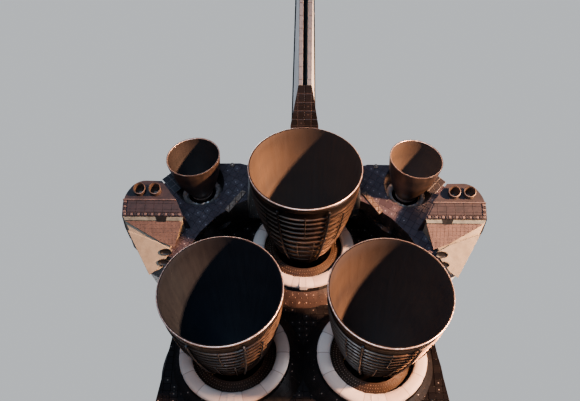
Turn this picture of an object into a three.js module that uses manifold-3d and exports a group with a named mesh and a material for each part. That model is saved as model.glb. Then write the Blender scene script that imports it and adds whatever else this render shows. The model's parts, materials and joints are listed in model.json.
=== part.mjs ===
// A winged space shuttle orbiter at full size, standing on its landing gear.
// Lengths are worked out in inches in the airframe's own frame: station runs aft from a datum ahead of the
// nose, side runs to the right wing, and water (water line) runs up. Meshes are scaled to millimetres.
import * as THREE from "three";
import { mergeVertices } from "three/addons/utils/BufferGeometryUtils.js";
import Module from "manifold-3d";

const wasm = await Module();
wasm.setup();

// Driving dimensions, in inches and degrees unless a name says otherwise
const INCH_MM = 25.4;
const GAP = 0.014; // between fixed pieces that meet
const RUN = 0.3; // running gap round a moving piece
const NOSE_DOWN = 3; // attitude on the gear
const MAIN_GROUND_WATER = 161; // the floor below the main wheels
const BOX_MIDDLE_FROM_MAIN = 5697.7; // mm, from the main axle forward to the middle of the length

const NOSE_CAP_END = 262;
const CABIN_FRONT = 440;
const NOSE_LAST = 550; // last station of the nose sections
const BAY_FRONT = 580;
const BAY_END = 1307;
const HULL_END = 1545; // beyond the base, which is cut from the hull

const BODY_RADIUS = 104; // of the bay doors and the upper fuselage
const BODY_AXIS_WATER = 400;
const BAY_RADIUS = 90;
const SILL_WATER = 418;
const DOOR_THICKNESS = 6;
const SKIN = 5; // cabin and aft fuselage walls
const GLASS_THICKNESS = 1.2;

const WING_SWEEP_START = 836; // leading edge station at side 0, swept 45 degrees
const GLOVE_START = 500;
const GLOVE_END = 1024;
const ROOT_SIDE = 104;
const KINK_SIDE = 188;
const TIP_SIDE = 468.3;
const TRAILING_START = 1525.2;
const TRAILING_SLOPE = Math.tan(THREE.MathUtils.degToRad(10.056));
const WING_WATER = 279.5;
const DIHEDRAL = 3.5;
const WING_THICKNESS = 0.115; // share of the local chord
const ELEVON_HINGE = 1387;

const FIN_ROOT_WATER = 500;
const FIN_TIP_WATER = 815.7;
const FIN_ROOT_CHORD = 268.5;
const FIN_CHORD_SLOPE = 0.5069;
const FIN_LEAD_ROOT = 1277.9;
const FIN_HINGE_SHARE = 0.6;
const FIN_THICKNESS = 0.105;
const RUDDER_LOW = 576;
const RUDDER_HIGH = 780;
const RUDDER_INSIDE = 0.8; // from the hinge line out to each panel
const RUDDER_EDGE_OUT = 5.7; // half width over the two trailing edges
const RUDDER_EDGE_IN = 2.1; // half of the slot between them

const MAIN_GEAR = { station: 1172, side: 136, tyre: 22.25, width: 15.5, spacing: 37, rim: 10 };
const NOSE_GEAR = { station: 379, side: 0, tyre: 16, width: 8.6, spacing: 20, rim: 7.6 };

const RING_NEAR = 55.5; // closeout ring, along the engine axis from the gimbal
const RING_FAR = 59.5;
const RING_INNER = 34.4;
const RING_OUTER = 45.5;
const SHIELD_RADIUS = 63.5; // engine shield sphere round the gimbal
const DOME_INNER = 65.4;
const DOME_OUTER = 69;
const ENGINE_EXIT = 159.45;
const ENGINE_THROAT = 38.4;
const ENGINE_SWING = 10.5; // degrees up or down
const ENGINE_BALL = 5; // from the gimbal to the end of the ball it turns in
const ENGINE_EXIT_RADIUS = 47;
const ORBITAL_EXIT = 59.76;
const ORBITAL_THROAT = 10;
const ORBITAL_EXIT_RADIUS = 22.9;

// name, gimbal station, side, water, pitch up, yaw outboard to the right
const ENGINES = [
  ["1", 1445, 0, 443, 16, 0],
  ["2", 1468.17, -53, 342.64, 10, -3.5],
  ["3", 1468.17, 53, 342.64, 10, 3.5],
];
const ORBITAL_GIMBAL = { station: 1518, side: 88, water: 492, pitch: 15.8, yaw: 6.5 };

// Finishes: colour, roughness, metalness
const FINISH = {
  whiteBlanket: [0xd9d6cf, 0.9, 0],
  blackTile: [0x1b1a1d, 0.35, 0],
  greyCarbon: [0x6f6e6c, 0.6, 0],
  glass: [0x14181d, 0.05, 0],
  cabinGrey: [0x8b9094, 0.7, 0],
  bayLiner: [0xb9bcb6, 0.8, 0],
  pinkBlanket: [0xcdb9ae, 0.9, 0],
  nozzleSteel: [0x5d5652, 0.35, 0.9],
  shieldBrown: [0x4a3d37, 0.6, 0.4],
  tileBrown: [0x7d6a63, 0.7, 0],
  gearWhite: [0xd4d6d6, 0.4, 0.1],
  rimMetal: [0x9ea1a2, 0.35, 0.8],
  tyreRubber: [0x17171a, 0.85, 0],
};

const radians = THREE.MathUtils.degToRad;
const mix = THREE.MathUtils.lerp;
const at = (station, side, water) => new THREE.Vector3(side, -station, water);
const mirrored = (point) => new THREE.Vector3(-point.x, point.y, point.z);
const AFT = new THREE.Vector3(0, -1, 0);
const RIGHT = new THREE.Vector3(1, 0, 0);

// Solids

function solid(geometry) {
  const bare = new THREE.BufferGeometry();
  bare.setAttribute("position", geometry.getAttribute("position").clone());
  if (geometry.index) bare.setIndex(geometry.index.clone());
  const merged = mergeVertices(bare, 1e-4);
  const triVerts = new Uint32Array(merged.index.array);
  const make = () =>
    new wasm.Manifold(
      new wasm.Mesh({ numProp: 3, vertProperties: merged.attributes.position.array, triVerts }),
    );
  const made = make();
  if (made.volume() > 0) return made;
  for (let i = 0; i < triVerts.length; i += 3)
    [triVerts[i + 1], triVerts[i + 2]] = [triVerts[i + 2], triVerts[i + 1]];
  return make();
}

function geometryOf(made) {
  const mesh = made.getMesh();
  const geometry = new THREE.BufferGeometry();
  geometry.setAttribute("position", new THREE.BufferAttribute(mesh.vertProperties.slice(), 3));
  geometry.setIndex(new THREE.BufferAttribute(mesh.triVerts.slice(), 1));
  return geometry;
}

const CAP_BEND = 1e-6;

// The triangles that close a flat ring, wound the way the ring runs.
function capOf(ring) {
  const normal = new THREE.Vector3();
  ring.forEach((point, i) => normal.add(point.clone().cross(ring[(i + 1) % ring.length])));
  const sizes = normal.toArray().map(Math.abs);
  const drop = sizes.indexOf(Math.max(...sizes));
  // A faint bend keeps points along a straight side from being skipped.
  const flat = ring.map((point) => {
    const [a, b] = point.toArray().filter((_, axis) => axis !== drop);
    return new THREE.Vector2(a + CAP_BEND * b * b, b + CAP_BEND * a * a);
  });
  const sense = Math.sign(THREE.ShapeUtils.area(flat));
  return THREE.ShapeUtils.triangulateShape(flat, []).map(([a, b, c]) => {
    const turn = Math.sign(THREE.ShapeUtils.area([flat[a], flat[b], flat[c]]));
    return turn === sense ? [a, b, c] : [a, c, b];
  });
}

// A solid through rings that hold the same number of points.
function loft(rings) {
  const count = rings[0].length;
  const index = [];
  for (let r = 0; r + 1 < rings.length; r++)
    for (let i = 0; i < count; i++) {
      const a = r * count + i;
      const b = r * count + ((i + 1) % count);
      // The left half's diagonals mirror the right half's, so that both sides are cut alike.
      if (i < count / 2) index.push(a, b, a + count, b, b + count, a + count);
      else index.push(a, b, b + count, a, b + count, a + count);
    }
  const last = (rings.length - 1) * count;
  for (const [a, b, c] of capOf(rings[0])) index.push(a, c, b);
  for (const [a, b, c] of capOf(rings.at(-1))) index.push(last + a, last + b, last + c);
  const geometry = new THREE.BufferGeometry().setFromPoints(rings.flat());
  geometry.setIndex(index);
  return solid(geometry);
}

// A profile of [radius, distance] pairs turned about an axis.
function turned(profile, segments, origin, direction, phase = 0) {
  const points = profile.map(([radius, distance]) => new THREE.Vector2(radius, distance));
  const geometry = new THREE.LatheGeometry(points, segments, phase);
  const turn = new THREE.Quaternion().setFromUnitVectors(new THREE.Vector3(0, 1, 0), direction);
  geometry.applyQuaternion(turn);
  geometry.translate(origin.x, origin.y, origin.z);
  return solid(geometry);
}

function rod(from, to, radius, segments = 12) {
  const length = from.distanceTo(to);
  const profile = [[0, 0], [radius, 0], [radius, length], [0, length]];
  return turned(profile, segments, from, to.clone().sub(from).normalize());
}

// A block between two corners given as [station, side, water].
function block([s0, y0, w0], [s1, y1, w1]) {
  const geometry = new THREE.BoxGeometry(Math.abs(y1 - y0), Math.abs(s1 - s0), Math.abs(w1 - w0));
  geometry.translate((y0 + y1) / 2, -(s0 + s1) / 2, (w0 + w1) / 2);
  return solid(geometry);
}

// A flat outline of [station, side] or [station, water] or [side, water] pairs, pushed through a range.
const prism = (pairs, place, low, high) => loft([low, high].map((v) => pairs.map((p) => place(p, v))));
const acrossPrism = (pairs, low, high) => prism(pairs, ([s, w], y) => at(s, y, w), low, high);
const alongPrism = (pairs, low, high) => prism(pairs, ([y, w], s) => at(s, y, w), low, high);
const upPrism = (pairs, low, high) => prism(pairs, ([s, y], w) => at(s, y, w), low, high);

const joined = (...solids) => solids.flat().reduce((sum, next) => sum.add(next));
const without = (whole, ...cuts) => cuts.flat().reduce((rest, cut) => rest.subtract(cut), whole);

const flipped = (made) => made.mirror([1, 0, 0]);

// Values between the rows of a table whose first column is the station.
function rowAt(table, station) {
  const next = Math.min(Math.max(table.findIndex((row) => row[0] >= station), 1), table.length - 1);
  const [a, b] = [table[next - 1], table[next]];
  const share = (station - a[0]) / (b[0] - a[0]);
  return a.map((value, i) => mix(value, b[i], share));
}

// Fuselage outlines. Each ring has TOP_STEPS and LOW_STEPS points on the right, and the same on the left.
const TOP_STEPS = 8;
const LOW_STEPS = 7;

const closedRing = (right) => [...right, ...right.slice(1, -1).reverse().map(mirrored)];
const signedPower = (value, power) => Math.sign(value) * Math.abs(value) ** power;

// station, half width, top, bottom, water of the widest point, upper and lower roundness
const NOSE_SECTIONS = [
  [236.5, 4.5, 342.5, 333.5, 338, 2, 2],
  [240, 13, 352, 323.5, 338, 2, 2],
  [248, 23.5, 362.5, 312.5, 338, 2, 2],
  [262, 33, 373, 302.5, 338, 2, 2.1],
  [290, 45, 384.5, 293.5, 340, 2, 2.3],
  [330, 58, 399, 287.5, 342, 2, 2.7],
  [388, 73, 421, 284, 345, 2, 3.2],
  [430, 83, 437.5, 282.5, 348, 2.1, 3.7],
  [458, 88, 465, 281.5, 352, 2.15, 4.2],
  [487, 93, 490, 280.5, 358, 2.25, 4.6],
  [515, 97.5, 501.5, 279.5, 372, 2.2, 5.2],
  [NOSE_LAST, 101.5, 504, 278.2, 388, 2.08, 6.2],
];

function noseRing(station, inset = 0) {
  const [, half, top, bottom, wide, up, low] = rowAt(NOSE_SECTIONS, station);
  const right = [];
  for (let i = 0; i <= TOP_STEPS + LOW_STEPS; i++) {
    const upper = i <= TOP_STEPS;
    const turn = upper ? 90 - (90 * i) / TOP_STEPS : (-90 * (i - TOP_STEPS)) / LOW_STEPS;
    const power = 2 / (upper ? up : low);
    const height = upper ? top - inset - wide : wide - bottom - inset;
    const onMiddle = i % (TOP_STEPS + LOW_STEPS) === 0;
    const side = onMiddle ? 0 : (half - inset) * signedPower(Math.cos(radians(turn)), power);
    right.push(at(station, side, wide + height * signedPower(Math.sin(radians(turn)), power)));
  }
  return closedRing(right);
}

// station, shoulder half width, top, half width above the lower corner, bottom
const BODY_SECTIONS = [
  [BAY_FRONT, 104, 504, 104, 277.5],
  [700, 104, 504, 104, 271.5],
  [850, 104, 504, 104, 268.5],
  [1000, 104, 504, 104, 267.5],
  [BAY_END, 104, 504, 104, 267.5],
  [1400, 105, 503, 111, 267.5],
  [1470, 106, 500, 118, 269],
  [HULL_END, 107, 496, 126, 272],
];
const CORNER = 10; // radius of the hull's lower corners

function bodyRing(station, inset = 0) {
  const [, shoulder, top, side, bottom] = rowAt(BODY_SECTIONS, station);
  const right = [];
  for (let i = 0; i <= TOP_STEPS; i++) {
    const turn = radians(90 - (90 * i) / TOP_STEPS);
    const wide = i ? (shoulder - inset) * Math.cos(turn) : 0;
    right.push(at(station, wide, BODY_AXIS_WATER + (top - BODY_AXIS_WATER - inset) * Math.sin(turn)));
  }
  const low = bottom + inset;
  const radius = Math.max(CORNER - inset, 4);
  right.push(at(station, mix(shoulder, side, 0.5) - inset, mix(BODY_AXIS_WATER, low + radius, 0.5)));
  for (const turn of [0, 30, 60, 90])
    right.push(
      at(
        station,
        side - inset - radius + radius * Math.cos(radians(turn)),
        low + radius - radius * Math.sin(radians(turn)),
      ),
    );
  right.push(at(station, (side - inset - radius) / 2, low));
  right.push(at(station, 0, low));
  return closedRing(right);
}

const stationsBetween = (table, from, to) => [
  from,
  ...table.map(([station]) => station).filter((station) => station > from && station < to),
  to,
];
const noseRings = (from, to, inset = 0) =>
  stationsBetween(NOSE_SECTIONS, from, to).map((s) => noseRing(s, inset));
// From a station in the nose to the front of the bay.
const noseHull = (from, inset = 0) =>
  loft([...noseRings(from, NOSE_LAST, inset), bodyRing(BAY_FRONT, inset)]);
const bodyHull = (from, to, inset = 0) =>
  loft(stationsBetween(BODY_SECTIONS, from, to).map((s) => bodyRing(s, inset)));

// Forward fuselage and cabin

const NOSE_WELL = { from: 306, to: 400, half: 20, top: 326 };
const MODULE_BOX = [[296, -120, 362], [412, 120, 460]];
const ATTACH_PAD_RADIUS = 5;
const FORWARD_PAD = { station: 412, water: 282.2 };
const HATCH = { station: 512, water: 366, radius: 20 };

function forwardPieces() {
  const whole = noseHull(NOSE_CAP_END + GAP);
  const cabin = loft([
    ...noseRings(CABIN_FRONT, NOSE_LAST, SKIN),
    bodyRing(BAY_FRONT, SKIN),
    bodyRing(BAY_FRONT, SKIN).map((p) => p.clone().setY(-BAY_FRONT - 1)),
  ]);
  const [moduleLow, moduleHigh] = MODULE_BOX;
  const moduleFit = block(
    [moduleLow[0] + GAP, moduleLow[1], moduleLow[2] + GAP],
    [moduleHigh[0] - GAP, moduleHigh[1], moduleHigh[2]],
  );
  const inside = (inset) => noseHull(CABIN_FRONT + GAP, inset);
  const glassZone = block([CABIN_FRONT, -100, 442], [532, 100, 520]);
  const glass = without(inside(SKIN + GAP), inside(SKIN + GLASS_THICKNESS)).intersect(glassZone);

  // Six windscreen openings and two overhead ones: right-hand outlines, mirrored
  const front = [[3, 447], [32, 446], [28, 482], [3, 484.5]];
  const middle = [[37, 444.5], [60, 440], [53, 474], [33, 480.5]];
  const flank = [[481, 445], [506, 447], [503, 478], [489, 479]];
  const overhead = [[497, 8], [497, 28], [521, 30], [521, 8]];
  const openings = [
    alongPrism(front, 425, 505),
    alongPrism(middle, 425, 484),
    acrossPrism(flank, 30, 110),
    upPrism(overhead, 485, 512),
  ];
  const windows = [...openings, ...openings.map(flipped)];

  const { from, to, half, top } = NOSE_WELL;
  const well = block([from, -half, 270], [to, half, top]);
  const hatchAxis = [at(HATCH.station, -60, HATCH.water), at(HATCH.station, -115, HATCH.water)];
  const hatchHole = rod(...hatchAxis, HATCH.radius + RUN, HATCH_SEGMENTS);
  const pad = attachPad(FORWARD_PAD.station, 0, FORWARD_PAD.water, 8);
  const hull = joined(
    pad,
    without(whole, cabin, ...windows, block(moduleLow, moduleHigh), well, hatchHole),
    ...hatchLugs(),
  );
  const pivot = hatchPivot();
  const hingeSpace = block(
    [HATCH.station - HATCH_HINGE_HALF, pivot.x - 2, pivot.z - 1.4],
    [HATCH.station + HATCH_HINGE_HALF, pivot.x + 5, pivot.z + 4],
  );
  const wall = without(noseHull(480), noseHull(479, SKIN));
  return {
    fuselage: without(hull, hingeSpace),
    module: moduleFit.intersect(whole),
    glass,
    hatch: joined(wall.intersect(rod(...hatchAxis, HATCH.radius, HATCH_SEGMENTS)), ...hatchKnuckle()),
  };
}

const HATCH_SEGMENTS = 24;
const HATCH_HINGE_HALF = 7;

function hatchLugs() {
  const pivot = hatchPivot();
  return [-1, 1].flatMap((sign) => {
    const near = HATCH.station + sign * HATCH_HINGE_HALF;
    const far = near + sign * 3;
    return [
      rod(at(near, pivot.x, pivot.z), at(far, pivot.x, pivot.z), 1.1, 10),
      block([near, pivot.x + 1, pivot.z - 1.8], [far, pivot.x + 9, pivot.z - 0.2]),
    ];
  });
}

function hatchKnuckle() {
  const pivot = hatchPivot();
  const reach = HATCH_HINGE_HALF - GAP;
  const { station } = HATCH;
  return [
    rod(at(station - reach, pivot.x, pivot.z), at(station + reach, pivot.x, pivot.z), 0.9, 10),
    block([station - 5, pivot.x, pivot.z], [station + 5, pivot.x + 4, pivot.z + 3]),
  ];
}

function hatchPivot() {
  const water = HATCH.water - HATCH.radius - 1.4;
  const ring = noseRing(HATCH.station);
  const near = ring.filter((p) => p.x < 0).sort((a, b) => Math.abs(a.z - water) - Math.abs(b.z - water));
  return at(HATCH.station, near[0].x - 1.4, water);
}

// A round pad on the underside, with its flat face down.
const attachPad = (station, side, water, height) =>
  rod(at(station, side, water + height), at(station, side, water), ATTACH_PAD_RADIUS, 16);

const noseCap = () => loft(noseRings(NOSE_SECTIONS[0][0], NOSE_CAP_END));

const BULKHEAD_DEPTH = 9;
const BULKHEAD_INSET = SKIN + 0.05;

function bulkhead() {
  const ring = bodyRing(BAY_FRONT, BULKHEAD_INSET);
  const ringAt = (station) => ring.map((p) => p.clone().setY(-station));
  const plate = loft([ringAt(BAY_FRONT - BULKHEAD_DEPTH), ringAt(BAY_FRONT)]);
  const aftWindow = [[10, 455], [34, 452], [30, 478], [10, 480]];
  const windowCut = alongPrism(aftWindow, BAY_FRONT - 20, BAY_FRONT + 10);
  const door = rod(at(BAY_FRONT - 20, 0, 362), at(BAY_FRONT + 10, 0, 362), 20, 20);
  const clear = noseHull(540, BULKHEAD_INSET);
  return without(plate.intersect(clear), windowCut, flipped(windowCut), door);
}

// The flight deck floor with its front console, two seats and their pedestals.
function flightDeck() {
  const edge = SKIN + 2 * GAP;
  const aft = BAY_FRONT - BULKHEAD_DEPTH - GAP;
  const floor = loft([
    ...noseRings(462, NOSE_LAST, edge),
    noseRing(NOSE_LAST, edge).map((p) => p.clone().setY(-aft)),
  ]).intersect(block([455, -110, 414], [aft, 110, 420]));
  const console = acrossPrism([[463, 420], [463, 446], [471, 446], [478, 428], [478, 420]], -34, 34);
  const seat = (side) =>
    acrossPrism(
      [[492, 419], [492, 436], [510, 436], [513, 466], [518, 466], [518, 419]],
      side - 9,
      side + 9,
    );
  const pedestal = block([478, -6, 419], [500, 6, 432]);
  return joined(floor, console, pedestal, seat(-24), seat(24));
}

// Mid fuselage with the payload bay open at the top

function midFuselage() {
  const outer = bodyHull(BAY_FRONT + GAP, BAY_END - GAP);
  const steps = 12;
  const cavity = [[BAY_RADIUS, SILL_WATER + 100]];
  for (let i = 0; i <= steps; i++) {
    const turn = radians((180 * i) / steps);
    cavity.push([BAY_RADIUS * Math.cos(turn), BODY_AXIS_WATER - BAY_RADIUS * Math.sin(turn)]);
  }
  cavity.push([-BAY_RADIUS, SILL_WATER + 100]);
  const above = block([BAY_FRONT - 5, -130, SILL_WATER - GAP], [BAY_END + 5, 130, 560]);
  return without(outer, alongPrism(cavity, BAY_FRONT - 5, BAY_END + 5), above);
}

// A curved panel's outline between two radii, from a level plane up to an angle.
const doorArc = (outer, inner, lowWater, high, steps) => {
  const arc = (radius) =>
    Array.from({ length: steps + 1 }, (_, i) => {
      const low = Math.asin((lowWater - BODY_AXIS_WATER) / radius);
      const turn = mix(low, radians(high), i / steps);
      return [radius * Math.cos(turn), BODY_AXIS_WATER + radius * Math.sin(turn)];
    });
  return [...arc(outer), ...arc(inner).reverse()];
};

const DOOR_HINGE_SIDE = BODY_RADIUS + 1;
const DOOR_STATIONS = [BAY_FRONT + RUN, BAY_END - RUN];
const DOOR_HINGES = [600, 760, 920, 1080, 1280];

function bayDoor() {
  const outline = doorArc(BODY_RADIUS, BODY_RADIUS - DOOR_THICKNESS, SILL_WATER + RUN, 89.9, TOP_STEPS);
  const panel = alongPrism(outline, ...DOOR_STATIONS);
  const barrels = DOOR_HINGES.map((s) => {
    const hinge = at(s, DOOR_HINGE_SIDE, SILL_WATER);
    const tongue = block(
      [s - 2, DOOR_HINGE_SIDE - 3, SILL_WATER + RUN],
      [s + 2, DOOR_HINGE_SIDE, SILL_WATER + 2.2],
    );
    const ends = [-2, 2].map((along) => hinge.clone().addScaledVector(AFT, along));
    return joined(rod(...ends, 0.9, 8), tongue);
  });
  return joined(panel, ...barrels);
}

// The hinge lugs that carry each door, standing off the sill on the fuselage side.
const doorLugs = () =>
  DOOR_HINGES.flatMap((s) =>
    [-1, 1].map((sign) =>
      block(
        [s + sign * (2 + GAP), DOOR_HINGE_SIDE - 5, SILL_WATER - 4],
        [s + sign * 4, DOOR_HINGE_SIDE + 0.8, SILL_WATER + 0.2],
      ),
    ),
  );
const doorNotches = () =>
  DOOR_HINGES.map((s) =>
    block(
      [s - 2 - GAP, DOOR_HINGE_SIDE - 3.6, SILL_WATER - 1.3],
      [s + 2 + GAP, DOOR_HINGE_SIDE + 2, SILL_WATER + 1],
    ),
  );

// Aft fuselage, base heat shield and engines

const engineDirection = ([, , , , pitch, yaw]) =>
  new THREE.Vector3(
    Math.sin(radians(yaw)) * Math.cos(radians(pitch)),
    -Math.cos(radians(yaw)) * Math.cos(radians(pitch)),
    Math.sin(radians(pitch)),
  );
const gimbalOf = ([, station, side, water]) => at(station, side, water);

const BASE_LOW_STATION = 1522;
const BASE_SLOPE = 0.19;
const BASE_THICKNESS = 6;
const baseStation = (water) => BASE_LOW_STATION - (water - 285) * BASE_SLOPE;
// Everything ahead of a plane parallel to the base, shift inches ahead of it.
const aheadOfBase = (shift) =>
  acrossPrism(
    [[1000, 200], [baseStation(200) - shift, 200], [baseStation(620) - shift, 620], [1000, 620]],
    -200,
    200,
  );

const FLAP_HINGE = { station: 1532, water: 287, nose: 8.6, half: 127.5 };
const flapLine = (from, to) => [from, to].map((side) => at(FLAP_HINGE.station, side, FLAP_HINGE.water));
const flapCove = () => rod(...flapLine(-200, 200), FLAP_HINGE.nose + 1, 20);

const UMBILICAL = { from: 1314, to: 1364, inner: 51, outer: 97.5, thickness: 2 };
const UMBILICAL_CEILING = 9; // of the wells, above the belly
const UMBILICAL_WALL = 3; // of the casings round the wells
const AFT_PAD = { station: 1322, side: 91, drop: 1.1 }; // in the ceiling of each well
const UMBILICAL_HINGES = [UMBILICAL.from + 8, UMBILICAL.to - 8];
const BELLY = 267.5;

function aftFuselage() {
  const outer = bodyHull(BAY_END, HULL_END);
  const inner = bodyHull(BAY_END + SKIN, HULL_END, SKIN);
  const struts = ENGINES.map((row) => {
    const gimbal = gimbalOf(row);
    const behind = (distance) => gimbal.clone().addScaledVector(engineDirection(row), -distance);
    return joined(
      rod(at(BAY_END + 3, gimbal.x, gimbal.z), behind(11), 7, 10),
      rod(behind(14), behind(ENGINE_BALL + GAP), 5, 12),
    );
  });
  const wellBlocks = (grow, low, high) =>
    [-1, 1].map((sign) =>
      block(
        [UMBILICAL.from - grow, sign * (UMBILICAL.inner - grow), BELLY + low],
        [UMBILICAL.to + grow, sign * (UMBILICAL.outer + grow), BELLY + high],
      ),
    );
  const casings = wellBlocks(UMBILICAL_WALL, 2, UMBILICAL_CEILING + UMBILICAL_WALL);
  const cased = joined(without(outer, inner), ...casings.map((casing) => casing.intersect(outer)));
  const wells = wellBlocks(RUN, -5, UMBILICAL_CEILING);
  const shell = without(cased, ...wells).intersect(aheadOfBase(BASE_THICKNESS + GAP));
  const padWater = BELLY + UMBILICAL_CEILING - AFT_PAD.drop;
  const pads = [-1, 1].map((sign) =>
    attachPad(AFT_PAD.station, sign * AFT_PAD.side, padWater, AFT_PAD.drop + 1),
  );
  const lugs = [-1, 1].flatMap((sign) =>
    UMBILICAL_HINGES.flatMap((s) =>
      [-1, 1].map((end) =>
        block(
          [s + end * (2 + GAP), sign * (UMBILICAL.inner - 4), BELLY - 1.5],
          [s + end * 4, sign * (UMBILICAL.inner - RUN - 0.1), BELLY + 2],
        ),
      ),
    ),
  );
  const notches = [-1, 1].flatMap((sign) =>
    UMBILICAL_HINGES.map((s) =>
      block(
        [s - 2 - GAP, sign * (UMBILICAL.inner - 2.2), BELLY - 3],
        [s + 2 + GAP, sign * UMBILICAL.inner, BELLY + 1.4],
      ),
    ),
  );
  return joined(without(shell, ...notches, shieldPocket()), ...struts, ...lugs, ...pads);
}

const umbilicalPivot = () => at((UMBILICAL.from + UMBILICAL.to) / 2, UMBILICAL.inner - 0.9, BELLY - 0.9);

function umbilicalDoor() {
  const plate = block(
    [UMBILICAL.from, UMBILICAL.inner, BELLY],
    [UMBILICAL.to, UMBILICAL.outer, BELLY + UMBILICAL.thickness],
  );
  const pivot = umbilicalPivot();
  const knuckles = UMBILICAL_HINGES.map((s) =>
    joined(
      rod(at(s - 2, pivot.x, pivot.z), at(s + 2, pivot.x, pivot.z), 0.6, 8),
      block([s - 1.5, pivot.x, pivot.z - 0.4], [s + 1.5, UMBILICAL.inner + 1.5, BELLY + 0.8]),
    ),
  );
  return joined(plate, ...knuckles);
}

const DOME_SEGMENTS = 20;
const DOME_STEPS = 3;
const ENGINE_SEGMENTS = 20;
const POWERHEAD_RADIUS = 21;

// A cone about the engine axis with its apex at the gimbal, out to the ring's inner edge.
function engineCone(row, slope, far) {
  const near = 20;
  const profile = [[0, near], [slope * near, near], [slope * far, far], [0, far]];
  return turned(profile, DOME_SEGMENTS, gimbalOf(row), engineDirection(row));
}

// Half a ball about the gimbal, cut off square at a distance along the engine axis.
function domeSolid(row, radius, far) {
  const profile = [[0, 0]];
  for (let i = 0; i <= DOME_STEPS; i++) {
    const turn = mix(Math.PI / 2, Math.acos(far / radius), i / DOME_STEPS);
    profile.push([radius * Math.sin(turn), radius * Math.cos(turn)]);
  }
  profile.push([0, far]);
  return turned(profile, DOME_SEGMENTS, gimbalOf(row), engineDirection(row));
}

function ringSolid(row, grow = 0) {
  return turned(
    [
      [RING_INNER - grow, RING_NEAR - grow],
      [RING_OUTER + grow, RING_NEAR - grow],
      [RING_OUTER + grow, RING_FAR + grow],
      [RING_INNER - grow, RING_FAR + grow],
      [RING_INNER - grow, RING_NEAR - grow],
    ],
    DOME_SEGMENTS,
    gimbalOf(row),
    engineDirection(row),
  );
}

function baseHeatShield() {
  const keep = without(bodyHull(1400, HULL_END), aheadOfBase(BASE_THICKNESS));
  const slab = keep.intersect(aheadOfBase(0));
  const domes = ENGINES.map((row) => domeSolid(row, DOME_OUTER, RING_NEAR + 1).intersect(keep));
  const holes = ENGINES.flatMap((row) => [
    domeSolid(row, DOME_INNER, RING_NEAR),
    engineCone(row, RING_INNER / RING_NEAR, 80),
  ]);
  const bracket = (side) =>
    joined(
      block(
        [FLAP_HINGE.station - 16, side - 2, FLAP_HINGE.water - 5],
        [FLAP_HINGE.station, side + 2, FLAP_HINGE.water + 5],
      ),
      rod(...flapLine(side - 2, side + 2), 5, 12),
    );
  const rings = ENGINES.map((row) => ringSolid(row, GAP));
  const plate = without(joined(slab, ...domes), ...holes, flapCove(), ...rings);
  return joined(plate, ...FLAP_BRACKETS.map(bracket));
}

const FLAP_BRACKETS = [-96, 96];

function bodyFlap() {
  const { station, water, nose, half } = FLAP_HINGE;
  const outline = [];
  for (let i = 0; i <= 10; i++) {
    const turn = radians(90 + 18 * i);
    outline.push([station + nose * Math.cos(turn), water + nose * Math.sin(turn)]);
  }
  outline.push([1613, water - 4], [1613, water - 1.5]);
  const slots = FLAP_BRACKETS.map((side) =>
    block([station - 12, side - 2 - RUN, water - 20], [station + 9, side + 2 + RUN, water + 20]),
  );
  const bosses = FLAP_BRACKETS.flatMap((side) =>
    [-1, 1].map((sign) =>
      rod(...flapLine(side + sign * (2 + GAP), side + sign * (2 + RUN + 1)), 2.5, 12),
    ),
  );
  return joined(without(acrossPrism(outline, -half, half), ...slots), ...bosses);
}

const BELL_STEPS = 6;
const BELL_START = Math.tan(radians(37)); // wall slope at the throat
const BELL_END = Math.tan(radians(5.4)); // and at the mouth

// The bell's wall is a parabola that leaves the throat steeply and is nearly straight at the mouth.
function bellProfile(throatAt, exitAt, throatRadius, exitRadius, wall) {
  const length = exitAt - throatAt;
  const mouth = exitRadius - wall;
  const bendAt = (mouth - throatRadius - BELL_END * length) / (BELL_START - BELL_END);
  const ends = [
    new THREE.Vector2(throatRadius, throatAt),
    new THREE.Vector2(throatRadius + BELL_START * bendAt, throatAt + bendAt),
    new THREE.Vector2(mouth, exitAt),
  ];
  const inner = new THREE.QuadraticBezierCurve(...ends).getPoints(BELL_STEPS).map((p) => p.toArray());
  const outer = inner.map(([r, l]) => [r + wall, l]).reverse();
  return [...inner, ...outer];
}

const ENGINE_ENDS = [ENGINE_THROAT, ENGINE_EXIT, 5.2, ENGINE_EXIT_RADIUS, 1.6];
const enginePoints = () => bellProfile(...ENGINE_ENDS);

function engineBody(row) {
  const back = [
    [14, ENGINE_THROAT - 10],
    [POWERHEAD_RADIUS, ENGINE_THROAT - 12],
    [POWERHEAD_RADIUS, 8],
    [10, 4],
    [4.2, 3],
    [3.4, -3.6],
    [0, -ENGINE_BALL],
  ];
  const outline = [[0, ENGINE_THROAT - 4], ...enginePoints(), ...back];
  return turned(outline, ENGINE_SEGMENTS, gimbalOf(row), engineDirection(row));
}

const SHIELD_RIM = 42.5; // angle of the shield's rim from the engine axis
const UPPER_SHIELD_RIM = 32.5; // the same over the upper engine, where the fuselage top is near

// Part of a ball's shell about the gimbal, round the bell. Its rim leans so that its top has its own angle.
function engineShield(row) {
  const topRim = row[0] === "1" ? UPPER_SHIELD_RIM : SHIELD_RIM;
  const lean = (SHIELD_RIM - topRim) / 2;
  const profile = [];
  const arc = (radius, from, to) => {
    for (let i = 0; i <= 3; i++) {
      const turn = radians(mix(from, to, i / 3));
      profile.push([radius * Math.sin(turn), radius * Math.cos(turn)]);
    }
  };
  arc(SHIELD_RADIUS, shieldFoot(SHIELD_RADIUS), SHIELD_RIM);
  arc(SHIELD_RADIUS - 1.5, SHIELD_RIM, shieldFoot(SHIELD_RADIUS - 1.5));
  profile.push(profile[0]);
  const shell = turned(profile, ENGINE_SEGMENTS, gimbalOf(row), engineDirection(row));
  if (lean === 0) return shell;
  const leaning = engineDirection(row).applyAxisAngle(RIGHT, radians(lean));
  return shell.intersect(shieldSector(row, SHIELD_RIM - lean, leaning));
}

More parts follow.
